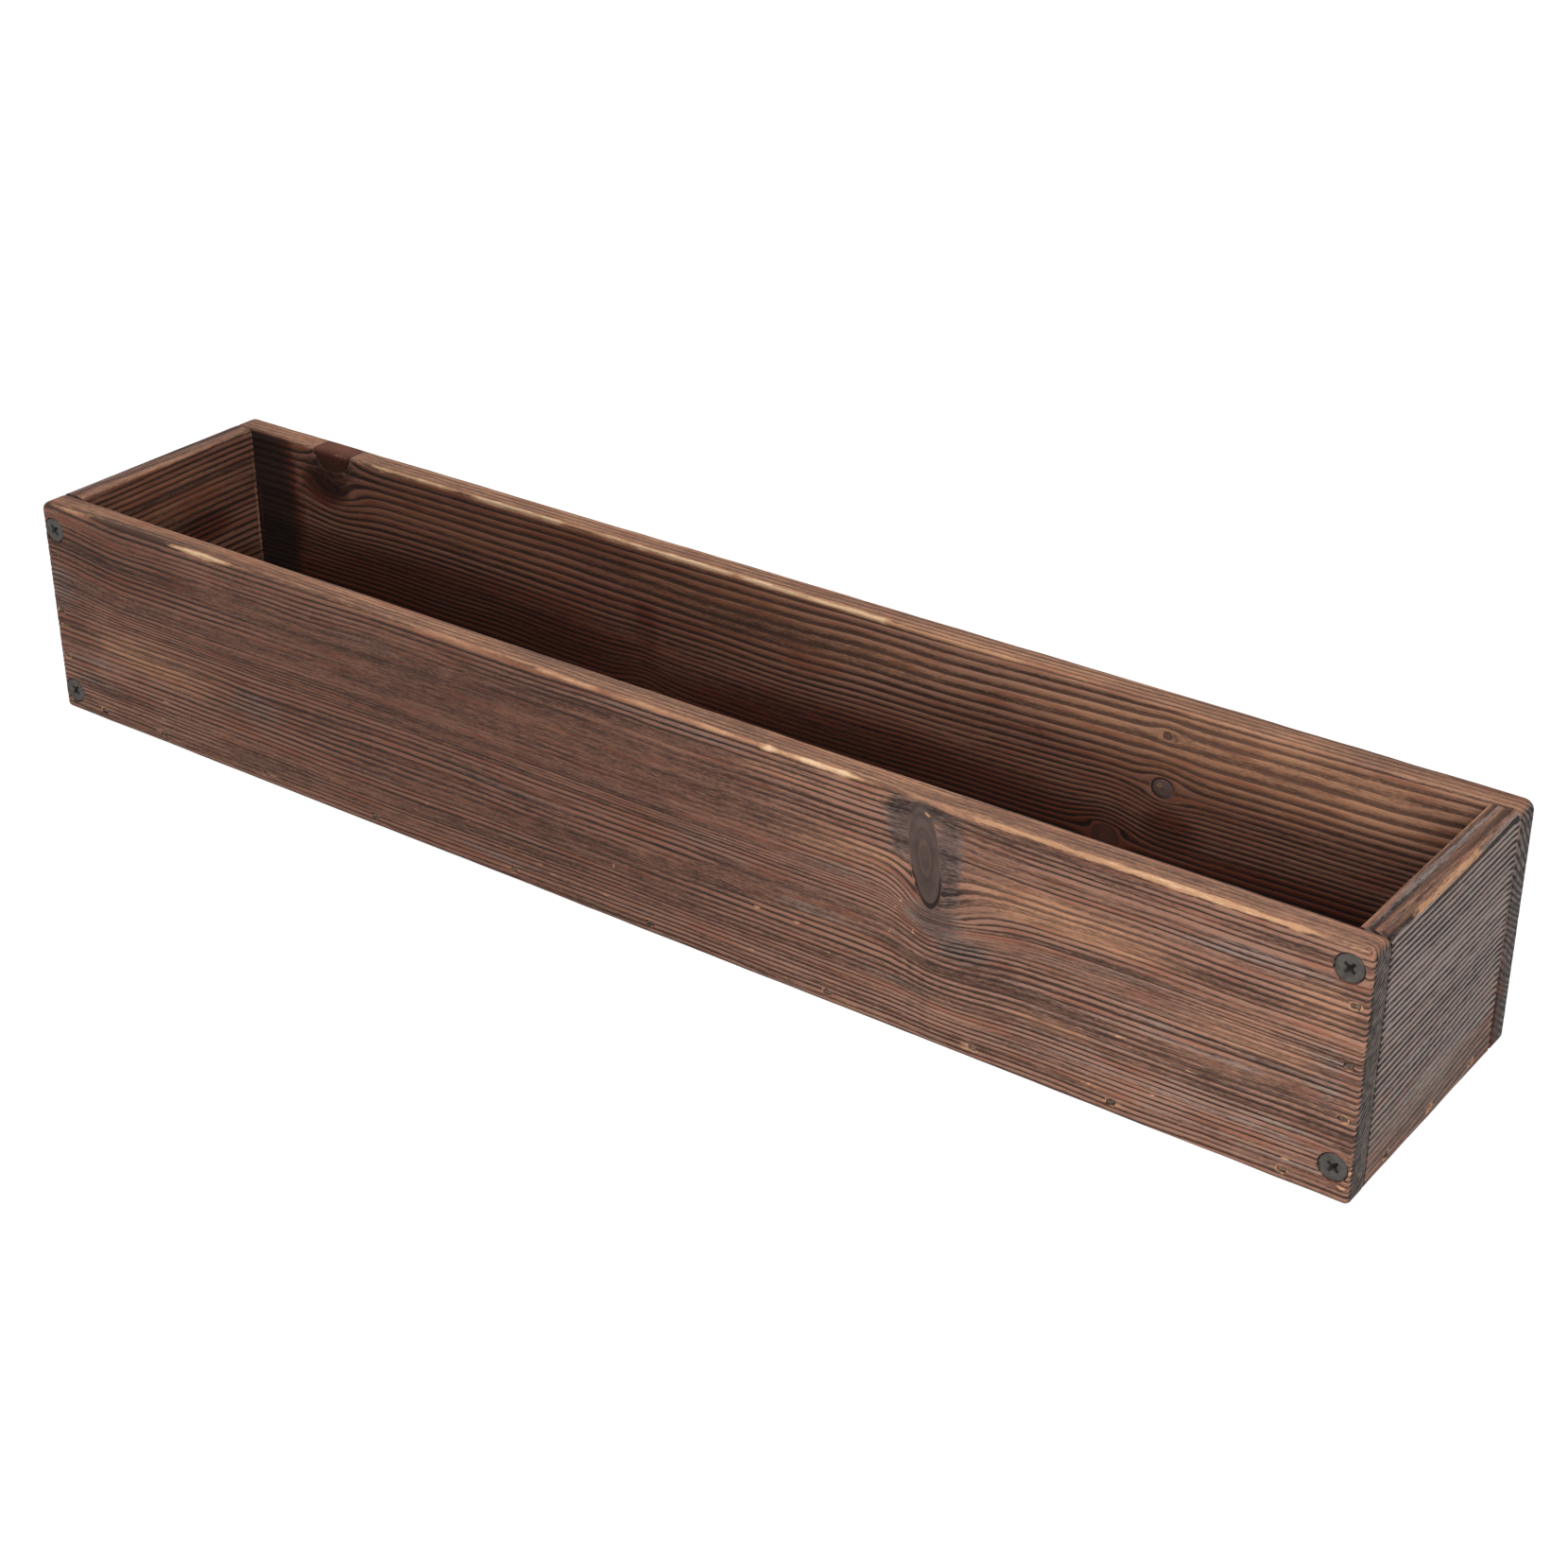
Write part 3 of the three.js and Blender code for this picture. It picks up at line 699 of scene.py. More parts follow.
def ruled(bm, board, sizes, edge):
    """Rules the body with a grid close enough across the grain to carry every ridge."""
    low, high = board.low, board.high
    along, across, through = board.along, board.across, board.through
    steps = np.linspace(edge * 0.44, edge, ARRIS_ROWS)
    bisect(bm, across, [*(low[across] + steps), *(high[across] - steps)])
    bisect(bm, through, [(low[through] + high[through]) / 2])
    bisect(bm, along, [low[along] + edge, high[along] - edge])
    columns = round((high[along] - low[along]) / sizes.column)
    bisect(bm, along, np.linspace(low[along], high[along], columns + 1)[1:-1])
    height = high[across] - low[across] - 2 * edge
    rows = [e for e in bm.edges if span(e)[across] > height * 0.9]
    divide(bm, rows, round(height / sizes.row))
    half = board.thickness / 2
    layers = [e for e in bm.edges if span(e)[through] > half * 0.6]
    divide(bm, layers, round(half / sizes.layer))
    return bm


def small_places(board, outside):
    """Where a face needs more columns: middle, halves and the number of new columns in each old one."""
    sides = ("both", "outside" if outside else "inside")
    for knot in board.wood.knots:
        if knot.side in sides:
            before, after = (2.1 * reach for reach in knot.reach)
            u, half_length = knot.u + (after - before) / 2, (after + before) / 2
            yield u, knot.v, half_length, knot.half_height + 0.9 * knot.fade, 4
    for mark in board.wood.marks:
        if mark.kind == "fleck" and mark.side in sides:
            yield mark.u, mark.v, mark.half_length + 0.6, mark.half_height + 0.4, 3
    if outside:
        for u, v in board.pins:
            yield u, v, 3.2, 2.2, 6


def refine(bm, board):
    """Adds short stretches of columns round knots, flecks and brads."""
    ends = np.array([[*e.verts[0].co, *e.verts[1].co] for e in bm.edges]).reshape(-1, 2, 3)
    middle, step = ends.mean(axis=1), np.abs(ends[:, 1] - ends[:, 0])
    cuts = np.zeros(len(middle), int)
    for outside in (True, False):
        face = (board.high if (board.outward > 0) == outside else board.low)[board.through]
        lies = (step.argmax(axis=1) == board.along) & (np.abs(middle[:, board.through] - face) < 0.05)
        for u, v, half_length, half_height, more in small_places(board, outside):
            near = lies & (np.abs(middle[:, board.along] - u) < half_length)
            near &= np.abs(middle[:, board.across] - v) < half_height
            cuts[near] = np.maximum(cuts[near], more)
    edges = bm.edges[:]
    for more in sorted(set(cuts.tolist()) - {0}):
        divide(bm, [edges[i] for i in np.flatnonzero(cuts == more)], more)


def new_object(name, mesh):
    piece = bpy.data.objects.new(name, mesh)
    bpy.context.scene.collection.objects.link(piece)
    return piece


def mesh_from(bm, name):
    mesh = bpy.data.meshes.new(name)
    bm.to_mesh(mesh)
    bm.free()
    return mesh


def read_vectors(owner, field):
    values = np.empty(len(owner) * 3)
    owner.foreach_get(field, values)
    return values.reshape(-1, 3)


def cut(body, cutter, own_crossings=False):
    """The body's mesh with the cutter taken out of it. The cutter isn't kept."""
    hollow = body.modifiers.new("holes", "BOOLEAN")
    hollow.operation, hollow.solver, hollow.object = "DIFFERENCE", "EXACT", cutter
    hollow.use_self = own_crossings
    evaluated = body.evaluated_get(bpy.context.evaluated_depsgraph_get())
    mesh = bpy.data.meshes.new_from_object(evaluated)
    body.modifiers.clear()
    old = body.data
    body.data = mesh
    bpy.data.meshes.remove(old)
    old = cutter.data
    bpy.data.objects.remove(cutter)
    bpy.data.meshes.remove(old)
    return mesh


def write_fields(mesh, fields):
    """Keeps the fields that the materials read on the mesh's points."""
    vector = ("FLOAT_VECTOR", "vector")
    number = ("FLOAT", "value")
    kinds = {"ring": number, "rim": number, "grain": vector, "line": vector}
    for name in ("ring", "rim", "grain", "line", "finish", "figure"):
        kind, part = kinds.get(name, ("FLOAT_COLOR", "color"))
        layer = mesh.attributes.new(name, kind, "POINT")
        layer.data.foreach_set(part, fields[name].astype(np.float32).ravel())


def finish_board(board, bm, holes):
    """Carves the relief, drills the holes and leaves the fields on the finished mesh."""
    refine(bm, board)
    mesh = mesh_from(bm, board.node + "_wood")
    piece = new_object(board.node + "_wood", mesh)
    points, normals = read_vectors(mesh.vertices, "co"), read_vectors(mesh.vertices, "normal")
    fields = board.surface(points, normals)
    carved = points - normals * fields["down"][:, None]
    mesh.vertices.foreach_set("co", carved.ravel())
    mesh.update()
    if holes:
        mesh = cut(piece, new_object("holes", mesh_from(holes, "holes")))
    points, normals = read_vectors(mesh.vertices, "co"), read_vectors(mesh.vertices, "normal")
    write_fields(mesh, board.surface(points, normals))
    mesh.transform(Matrix.Scale(MM, 4))
    mesh.polygons.foreach_set("use_smooth", [True] * len(mesh.polygons))
    mesh.set_sharp_from_angle(angle=SHARP_WOOD)
    mesh.update()
    return piece


# ---- fasteners
# A fastener's own frame has its head's top in the plane Y = 0 and its point towards +Y.

WALL_TURNS = {"front": 0.0, "right": 90.0, "back": 180.0, "left": -90.0}
SCREW_TURNS = {"left_upper": 50.0, "left_lower": 37.0, "right_upper": 41.0, "right_lower": 39.0}
# The dished face of a screw's head: shares of its radius, and how deep it lies there
HEAD_FACE = ((0, 0.1), (0.45, 0.1), (0.8, 0.07), (0.86, 0.02), (0.92, 0), (0.97, 0.06), (1, 0.17))
RECESS_POINT = ((0, -2), (1.25, -2), (1.15, 0), (0.55, 1.7), (0, 2.3))
RECESS_POINT_TURN = 11.0
SCREW_STEPS = 30  # faces round a screw


def fastener_names(kind):
    return sorted(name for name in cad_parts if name.startswith(kind + "_"))


def seat(node):
    """The matrix that puts a fastener's own frame where its node's head is."""
    wall = node.split("_")[1]
    turn = math.radians(WALL_TURNS[wall])
    low, high = (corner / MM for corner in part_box(node))
    middle = (low + high) / 2
    outward = Vector((round(math.sin(turn)), -round(math.cos(turn)), 0))
    for axis in range(3):
        if outward[axis]:
            middle[axis] = high[axis] if outward[axis] > 0 else low[axis]
    return Matrix.Translation(middle) @ Matrix.Rotation(turn, 4, "Z")


def spun(outline, steps):
    """A closed round body from half of its outline, given as radii and places along +Y."""
    bm = bmesh.new()
    points = [bm.verts.new((radius, place, 0.0)) for radius, place in outline]
    lines = [bm.edges.new(pair) for pair in zip(points, points[1:])]
    bmesh.ops.spin(
        bm, geom=points + lines, axis=(0, 1, 0), cent=(0, 0, 0), angle=2 * math.pi, steps=steps,
        use_merge=True, use_duplicate=False,
    )
    bmesh.ops.remove_doubles(bm, verts=bm.verts, dist=1e-4)
    bmesh.ops.recalc_face_normals(bm, faces=bm.faces)
    return bm


def add_copy(target, source, matrix):
    """Adds a placed copy of one bmesh to another."""
    mesh = bpy.data.meshes.new("copy")
    source.to_mesh(mesh)
    mesh.transform(matrix)
    target.from_mesh(mesh)
    bpy.data.meshes.remove(mesh)


def screw_hole(sizes):
    mouth = sizes.head_diameter / 2 + HEAD_ROOM
    bore = sizes.shank_diameter / 2 + HOLE_ROOM
    rim = sizes.head_rim
    outline = [(0, -DRILL_START), (mouth, -DRILL_START), (mouth, rim), (bore, rim + mouth - bore)]
    outline += [(bore, sizes.screw_length), (0, sizes.screw_length + bore)]
    return spun(outline, 40)


def brad_hole(sizes):
    """The slot of a brad's head and the hole of its wire, as one closed body."""
    bm = bmesh.new()
    wide = sizes.brad_head_width / 2 + HOLE_ROOM
    wire, thick = sizes.brad_width / 2 + HOLE_ROOM, sizes.brad_wire / 2 + HOLE_ROOM
    bmesh.ops.create_cube(bm, size=1.0)
    bmesh.ops.scale(bm, vec=(2 * wide, BRAD_SEAT + DRILL_START, 2 * thick), verts=bm.verts)
    bmesh.ops.translate(bm, vec=(0, (BRAD_SEAT - DRILL_START) / 2, 0), verts=bm.verts)
    floor = [f for f in bm.faces if f.normal.y > 0.9]
    bmesh.ops.inset_individual(bm, faces=floor, thickness=wide - wire, use_even_offset=False)
    for vertex in {v for f in floor for v in f.verts}:
        vertex.co.x = math.copysign(wire, vertex.co.x)
        vertex.co.z = math.copysign(thick * 0.98, vertex.co.z)
    grown = bmesh.ops.extrude_discrete_faces(bm, faces=floor)["faces"]
    bmesh.ops.translate(bm, vec=(0, sizes.brad_length, 0), verts=list({v for f in grown for v in f.verts}))
    return bm


def drilled_by(board, sizes):
    """Every hole that reaches this board, joined into one body."""
    holes = bmesh.new()
    shapes = {"screw": screw_hole(sizes), "brad": brad_hole(sizes)}
    for kind, shape in shapes.items():
        for node in fastener_names(kind):
            low, high = (np.array(corner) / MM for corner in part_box(node))
            if np.all(low - 0.6 < board.high) and np.all(high + 0.6 > board.low):
                add_copy(holes, shape, seat(node))
                head = np.array(seat(node).translation)
                if kind == "brad" and board.node.startswith(node.split("_")[1]):
                    board.pins.append((head[board.along], head[board.across]))
        shape.free()
    return holes


def drain_holes(board, sizes):
    """Drills for the holes in a row along the middle of the bottom board."""
    drills = bmesh.new()
    length = board.high[0] - board.low[0]
    radius = sizes.drain_diameter / 2
    for i in range(sizes.drain_count):
        station = ((i + 0.5) / sizes.drain_count - 0.5) * length
        place = Matrix.Translation((station, 0.0, board.thickness / 2))
        bmesh.ops.create_cone(
            drills, cap_ends=True, segments=32, radius1=radius, radius2=radius,
            depth=board.thickness + 4, matrix=place,
        )
    return drills


def recess_tool(sizes):
    """The driver's cross: two tapered blades and the point between them."""
    tool = bmesh.new()
    for turn in (0.0, 90.0):
        blade = bmesh.new()
        bmesh.ops.create_cube(blade, size=1.0)
        bmesh.ops.scale(blade, vec=(sizes.recess_span, 4.0, sizes.recess_wing), verts=blade.verts)
        for vertex in blade.verts:
            if vertex.co.y > 0:
                vertex.co = (vertex.co.x * 0.6, sizes.recess_depth, vertex.co.z * 0.55)
        add_copy(tool, blade, Matrix.Rotation(math.radians(turn), 4, "Y"))
        blade.free()
    point = spun(RECESS_POINT, 16)
    add_copy(tool, point, Matrix.Rotation(math.radians(RECESS_POINT_TURN), 4, "Y"))
    point.free()
    return tool


def screw_outline(sizes):
    """Half of a screw: a shallow dished head, its cone, the plain neck and the threaded shank."""
    head, core = sizes.head_diameter / 2, sizes.core_diameter / 2
    outline = [(head * share, depth) for share, depth in HEAD_FACE] + [(head, sizes.head_rim)]
    neck = sizes.head_rim + head - core
    outline += [(core + 0.5, neck - 0.5), (core + 0.08, neck), (core, neck + 0.4)]
    tip = sizes.screw_length - sizes.point_length
    step = sizes.thread_pitch / 6
    rows = int((tip - neck - 1.0) / step)
    outline += [(core, neck + 1.0 + i * step) for i in range(rows)]
    points = int(sizes.point_length / step)
    outline += [(core * (1 - i / points), tip + i * step) for i in range(points)]
    return outline + [(0, sizes.screw_length)]


def screw_mesh(sizes):
    """A countersunk wood screw with its thread and its cross recess."""
    bm = spun(screw_outline(sizes), SCREW_STEPS)
    start = sizes.head_rim + sizes.head_diameter / 2 + 0.6
    tip = sizes.screw_length - sizes.point_length
    for vertex in bm.verts:
        radius = math.hypot(vertex.co.x, vertex.co.z)
        if radius > 0.05 and vertex.co.y > start:
            turn = math.atan2(vertex.co.z, vertex.co.x) / (2 * math.pi)
            place = (vertex.co.y / sizes.thread_pitch - turn) % 1.0
            ridge = max(0.0, 1.0 - abs(place - 0.5) / 0.3)
            grown = sizes.thread_depth * ridge * min(1.0, (vertex.co.y - start) / 2.0)
            grown *= min(1.0, 0.35 + (sizes.screw_length - vertex.co.y) / (sizes.screw_length - tip))
            scale = (radius + grown) / radius
            vertex.co.x *= scale
            vertex.co.z *= scale
    piece = new_object("screw", mesh_from(bm, "screw"))
    mesh = cut(piece, new_object("recess", mesh_from(recess_tool(sizes), "recess")), own_crossings=True)
    bpy.data.objects.remove(piece)
    points = read_vectors(mesh.vertices, "co")
    hollow = np.hypot(points[:, 0], points[:, 2]) < sizes.recess_span * 0.56
    # Painted shade: the cross recess grows darker with depth below the head's face.
    recess_shade = np.where(hollow, smooth((points[:, 1] - 0.12) / 0.3), 0.0)
    layer = mesh.attributes.new("recess_shade", "FLOAT", "POINT")
    layer.data.foreach_set("value", recess_shade.astype(np.float32))
    return mesh


# ---- materials


def linear(colour):
    """A colour as written on a screen, made linear for a shader."""
    return (*(c / 12.92 if c <= 0.04045 else ((c + 0.055) / 1.055) ** 2.4 for c in colour), 1.0)


class Amount:
    """A number inside a material. Operators on it add Math nodes."""

    def __init__(self, shader, socket):
        self.shader, self.socket = shader, socket

    def math(self, operation, *others, first=None):
        terms = (self, *others) if first is None else (first, self)
        return self.shader.node("ShaderNodeMath", {"operation": operation}, dict(enumerate(terms)))

    def __add__(self, other):
        return self.math("ADD", other)

    def __sub__(self, other):
        return self.math("SUBTRACT", other)

    def __mul__(self, other):
        return self.math("MULTIPLY", other)

    def __rsub__(self, other):
        return self.math("SUBTRACT", first=other)

    __radd__, __rmul__ = __add__, __mul__

    def between(self, low, high):
        """An even rise from 0 at low to 1 at high."""
        inputs = {"Value": self, "From Min": low, "From Max": high}
        return self.shader.node("ShaderNodeMapRange", {"interpolation_type": "SMOOTHSTEP"}, inputs)


class Shader:
    """The nodes of a material or of the world."""

    def __init__(self, owner):
        owner.use_nodes = True
        self.owner, self.tree = owner, owner.node_tree

    def put(self, socket, value):
        if isinstance(value, Amount):
            self.tree.links.new(value.socket, socket)
        else:
            socket.default_value = value

    def node(self, kind, settings, inputs, output=0):
        """Adds a node, sets it up and links it, and gives one of its outputs."""
        made = self.tree.nodes.new(kind)
        for name, value in settings.items():
            setattr(made, name, value)
        for name, value in inputs.items():
            self.put(made.inputs[name], value)
        return Amount(self, made.outputs[output])

    def field(self, name, output="Fac"):
        return self.node("ShaderNodeAttribute", {"attribute_name": name}, {}, output)

    def parts(self, colour):
        """A colour field's three channels."""
        split = self.node("ShaderNodeSeparateColor", {}, {0: colour})
        return [Amount(self, channel) for channel in split.socket.node.outputs]

    def scaled(self, vector, scale):
        return self.node("ShaderNodeVectorMath", {"operation": "MULTIPLY"}, {0: vector, 1: scale})

    def noise(self, vector, scale=1.0, detail=2.0, roughness=0.5):
        inputs = {"Vector": vector, "Scale": scale, "Detail": detail, "Roughness": roughness}
        return self.node("ShaderNodeTexNoise", {"noise_dimensions": "3D"}, inputs)

    def mix(self, share, *colours):
        """A mix of two colours, each linked from a node or written as on a screen."""
        first, second = (c if isinstance(c, Amount) else linear(c) for c in colours)
        inputs = {0: share, 6: first, 7: second}
        return self.node("ShaderNodeMix", {"data_type": "RGBA"}, inputs, output=2)

    def bump(self, height, distance, strength):
        inputs = {"Height": height, "Distance": distance, "Strength": strength}
        return self.node("ShaderNodeBump", {}, inputs)

    def finish(self, **sockets):
        """Sets the sockets of a material's surface, named with underscores for spaces."""
        surface = self.tree.nodes["Principled BSDF"]
        for name, value in sockets.items():
            self.put(surface.inputs[name.replace("_", " ")], value)
        return self.owner

    def shown(self, share, hidden, seen, output):
        """Shows one shader in place of another to what sees directly, and as light keeps the other.

        Directly means by the camera, in a reflection or through clear glass.
        """
        rays = ("Is Camera Ray", "Is Glossy Ray", "Is Transmission Ray")
        camera, glossy, clear = (self.node("ShaderNodeLightPath", {}, {}, ray) for ray in rays)
        direct = camera.math("MAXIMUM", glossy).math("MAXIMUM", clear)
        blend = self.node("ShaderNodeMixShader", {}, {0: direct * share, 1: hidden, 2: seen})
        self.put(self.tree.nodes[output].inputs["Surface"], blend)


def torched_wood(name, tones):
    """Torched, brushed softwood: char in the grooves, brown ridges, slate streaks that are partly a painted
    sheen, rubbed arrises, and painted light and shade where the warm and char marks lie.
    """
    shader = Shader(bpy.data.materials.new(name))
    grain, ring = shader.field("grain", "Vector"), shader.field("ring")
    bare, slate, warm_and_lit = shader.parts(shader.field("finish", "Color"))
    char = shader.field("finish", "Alpha")
    opened, shade, end = shader.parts(shader.field("figure", "Color"))
    relief = shader.field("figure", "Alpha")
    strength, tone, crest = shader.parts(shader.field("line", "Vector"))
    rim = shader.field("rim")
    knot = 1.0 - rim.between(-0.2, 0.15)
    crack = opened * (1.0 - rim.math("ABSOLUTE").between(0.15, 0.42))

    fibres = shader.noise(shader.scaled(grain, (0.13, 2.3, 2.3)), detail=2.0, roughness=0.6)
    dashes = shader.noise(shader.scaled(grain, (0.55, 3.0, 3.0)), detail=1.0)
    mottle = shader.noise(shader.scaled(grain, (0.018, 0.11, 0.11)), detail=3.0)
    streaks = shader.noise(shader.scaled(grain, (0.024, 0.42, 0.42)), detail=4.0, roughness=0.6)
    blush = shader.noise(shader.scaled(grain, (0.03, 0.3, 0.3)), scale=1.3, detail=2.0)

    share = ring.math("FRACT")
    fall = (share - crest).math("DIVIDE", 0.92 - crest)
    ridge = share.between(0.0, 0.15) * (1.0 - fall.between(0.0, 1.0))
    shown = strength * (0.06 + 0.94 * relief)
    light = 0.5 + (ridge - 0.5) * shown + (fibres - 0.5) * 1.3 + (dashes - 0.5) * 0.9
    light = (light + (tone - 0.5) * 0.4 + (mottle - 0.5) * 0.7).between(0.0, 1.1)

    warmth = (warm_and_lit * 0.8 + (mottle - 0.5) * 0.8 + (blush - 0.5) * 0.5 + 0.12).between(0.0, 1.0)
    high = shader.mix(warmth, tones.ridge, tones.tan)
    high = shader.mix((blush - 0.5).between(0.0, 0.16) * 0.5, high, tones.red)
    low = shader.mix(warmth * 0.4, tones.groove, tones.ridge)
    colour = shader.mix(light, low, high)

    # Slate: the burnt ridges' grey, partly the char's own colour and partly a painted sheen.
    grey = (slate * 0.75 + (streaks - 0.55) * 1.8 - 0.15 * warmth).between(0.05, 0.85) * 0.9
    colour = shader.mix(grey, colour, shader.mix(light, tones.soot, tones.slate))

    knot_colour = shader.mix(shade, tones.slate, tones.knot)
    # Painted light: the warm marks of a top face lighten a knot there too.
    knot_light = 0.33 + warm_and_lit * 0.3 + (fibres - 0.5) * 0.16 + (mottle - 0.5) * 0.5
    knot_colour = shader.mix(knot_light.between(0.0, 1.0), tones.soot, knot_colour)
    colour = shader.mix(knot * 0.9, colour, knot_colour)

    end_light = (ridge * 0.8 + (blush - 0.5) * 2.0 + (fibres - 0.5) * 0.7 - 0.17).between(0.0, 1.0)
    end_colour = shader.mix(end_light, tones.end_dark, tones.end_light)
    colour = shader.mix(end.between(0.35, 0.8) * 0.92, colour, end_colour)

    rub = (bare + (fibres - 0.5) * 0.5 + (dashes - 0.5) * 0.3).between(0.16, 0.5)
    colour = shader.mix(rub, colour, tones.rubbed)
    strip = (bare + (fibres - 0.5) * 0.6 + (dashes - 0.5) * 0.3).between(0.56, 0.8)
    colour = shader.mix(strip, colour, tones.bare)

    # Darkens where the char marks lie, which inside the trough are partly painted shade, and in a knot's gap.
    blackened = (char + ((streaks - 0.5) * 0.45 + (mottle - 0.5) * 0.5) * char).between(0.05, 1.0)
    blackened = (blackened * (1.0 - 0.7 * knot)).math("MAXIMUM", crack)
    glow = light * (1.3 - char).between(0.0, 0.5) * (1.0 - crack)
    colour = shader.mix(blackened * 0.93, colour, shader.mix(glow, tones.black, tones.ember))

    height = fibres * 0.7 + dashes * 0.5
    return shader.finish(
        Base_Color=colour,
        Roughness=0.66 + (dashes - 0.5) * 0.3 - grey * 0.1,
        Normal=shader.bump(height, 0.00014, 0.6),
        Specular_IOR_Level=0.12,
    )


def smoked_steel(name, tones):
    """A screw's dull plating, lighter in small worn spots, with painted shade where it is hollow."""
    shader = Shader(bpy.data.materials.new(name))
    place = shader.node("ShaderNodeTexCoord", {}, {}, "Object")
    blotches = shader.noise(place, scale=420.0, detail=3.0)
    grit = shader.noise(place, scale=3200.0, detail=2.0)
    colour = shader.mix(blotches.between(0.35, 0.7), tones.steel_dark, tones.steel)
    colour = shader.mix(grit.between(0.6, 0.8) * 0.5, colour, tones.steel_light)
    recess_shade = shader.field("recess_shade")
    # Painted shade in the cross recess, in the deepest black; it also dulls the metal there.
    colour = shader.mix(recess_shade * 0.9, colour, tones.black)
    return shader.finish(
        Base_Color=colour,
        Metallic=0.35 * (1.0 - recess_shade),
        Roughness=0.45 + blotches * 0.2 + recess_shade * 0.3,
        Normal=shader.bump(grit * 0.6 + blotches, 0.00006, 0.6),
    )


def brad_steel(name, tones):
    """A brad's wire, browned and oxidised by the torch."""
    shader = Shader(bpy.data.materials.new(name))
    place = shader.node("ShaderNodeTexCoord", {}, {}, "Object")
    blotches = shader.noise(place, scale=900.0, detail=3.0)
    lines = shader.noise(shader.scaled(place, (900.0, 90.0, 900.0)), detail=2.0)
    colour = shader.mix(blotches.between(0.35, 0.65), tones.brad_dark, tones.brad)
    return shader.finish(
        Base_Color=colour,
        Metallic=0.35,
        Roughness=0.45 + blotches * 0.2,
        Normal=shader.bump(lines, 0.00004, 0.5),
    )


# ---- settings


def colour_property(name, description, default):
    code = default.lstrip("#")
    channels = tuple(int(code[i : i + 2], 16) / 255 for i in (0, 2, 4))
    return FloatVectorProperty(
        name=name, description=description, default=channels, subtype="COLOR_GAMMA", size=3, min=0.0, max=1.0
    )


def size_property(name, description, default):
    return FloatProperty(name=name, description=description + ", in millimetres", default=default, min=0.01)


class PLANTER_PG_boards(bpy.types.PropertyGroup):
    """Sizes of the boards' edges and of the grid that carries their relief."""

    top_radius: size_property("Top corners", "Rounding of the long boards' upper corners", 3.5)
    lower_radius: size_property("Lower corners", "Rounding of the long boards' lower corners", 1.8)
    long_arris: size_property("Long board arris", "Easing of the long boards' edges", 1.4)
    end_top_arris: size_property("End board top arris", "Easing of the end boards' outer top edge", 3.0)
    end_arris: size_property("End board arris", "Easing of the end boards' other edges", 1.2)
    bottom_chamfer: size_property("Bottom chamfer", "Chamfer of the bottom board", 0.6)
    drain_diameter: size_property("Drain diameter", "Across each drain hole", 10.0)
    drain_count: IntProperty(name="Drain holes", description="Number of drain holes", default=3, min=0)
    column: size_property("Column", "Grid step along the grain", 4.5)
    row: size_property("Row", "Grid step across the grain", 0.33)
    layer: size_property("Layer", "Grid step through the thickness", 0.55)


class PLANTER_PG_fasteners(bpy.types.PropertyGroup):
    """Sizes of the screws and brads."""

    screw_length: size_property("Screw length", "From the head's face to the point", 30.0)
    head_diameter: size_property("Head diameter", "Across the screw's head", 8.5)
    head_rim: size_property("Head rim", "Height of the head's straight rim", 0.35)
    shank_diameter: size_property("Shank diameter", "Across the shank at half the thread's depth", 3.6)
    core_diameter: size_property("Core diameter", "Across the thread's root", 2.9)
    thread_depth: size_property("Thread depth", "From the root to the crest", 0.62)
    thread_pitch: size_property("Thread pitch", "Between two crests", 1.8)
    point_length: size_property("Point length", "Length of the screw's point", 5.0)
    recess_span: size_property("Recess span", "Across the driver's cross", 5.2)
    recess_wing: size_property("Recess wing", "Width of one arm of the cross", 1.35)
    recess_depth: size_property("Recess depth", "Depth of the cross", 2.2)
    brad_length: size_property("Brad length", "From the head's face to the point", 20.0)
    brad_width: size_property("Brad width", "Width of the wire", 1.3)
    brad_wire: size_property("Brad wire", "Thickness of the wire", 1.1)
    brad_head_width: size_property("Brad head", "Width of the head", 2.3)


class PLANTER_PG_tones(bpy.types.PropertyGroup):
    """Colours of the torched wood and the metal."""

    ridge: colour_property("Ridge", "Brown of the brushed ridges", "#926d5c")
    tan: colour_property("Tan", "Where the torch passed lightly", "#b98969")
    red: colour_property("Red", "Resinous red brown", "#844a39")
    groove: colour_property("Groove", "Char left in the grooves", "#3b2a23")
    slate: colour_property("Slate", "Grey sheen of burnt ridges", "#8c817b")
    soot: colour_property("Soot", "Dark of the burnt grooves", "#151110")
    end_light: colour_property("End grain", "Lighter fibres of the burnt end grain", "#6b625c")
    end_dark: colour_property("Dark end grain", "Char in the end grain", "#131110")
    knot: colour_property("Knot", "A knot's red brown", "#7a4030")
    rubbed: colour_property("Rubbed", "Worn arris under a little stain", "#b68a69")
    bare: colour_property("Bare", "Bare wood", "#e0bd98")
    # black also paints the shade in the screws' cross recesses.
    black: colour_property("Black", "Deepest char", "#17110f")
    ember: colour_property("Ember", "Char with brown showing through", "#4e2114")
    steel: colour_property("Steel", "The screws' grey", "#4b4641")
    steel_dark: colour_property("Dark steel", "Smoke on the screws", "#36322e")
    steel_light: colour_property("Light steel", "Worn spots on the screws", "#6d675f")
    brad: colour_property("Brad", "The brads' wire", "#6e5a4c")
    brad_dark: colour_property("Dark brad", "Oxide on the brads", "#33291f")


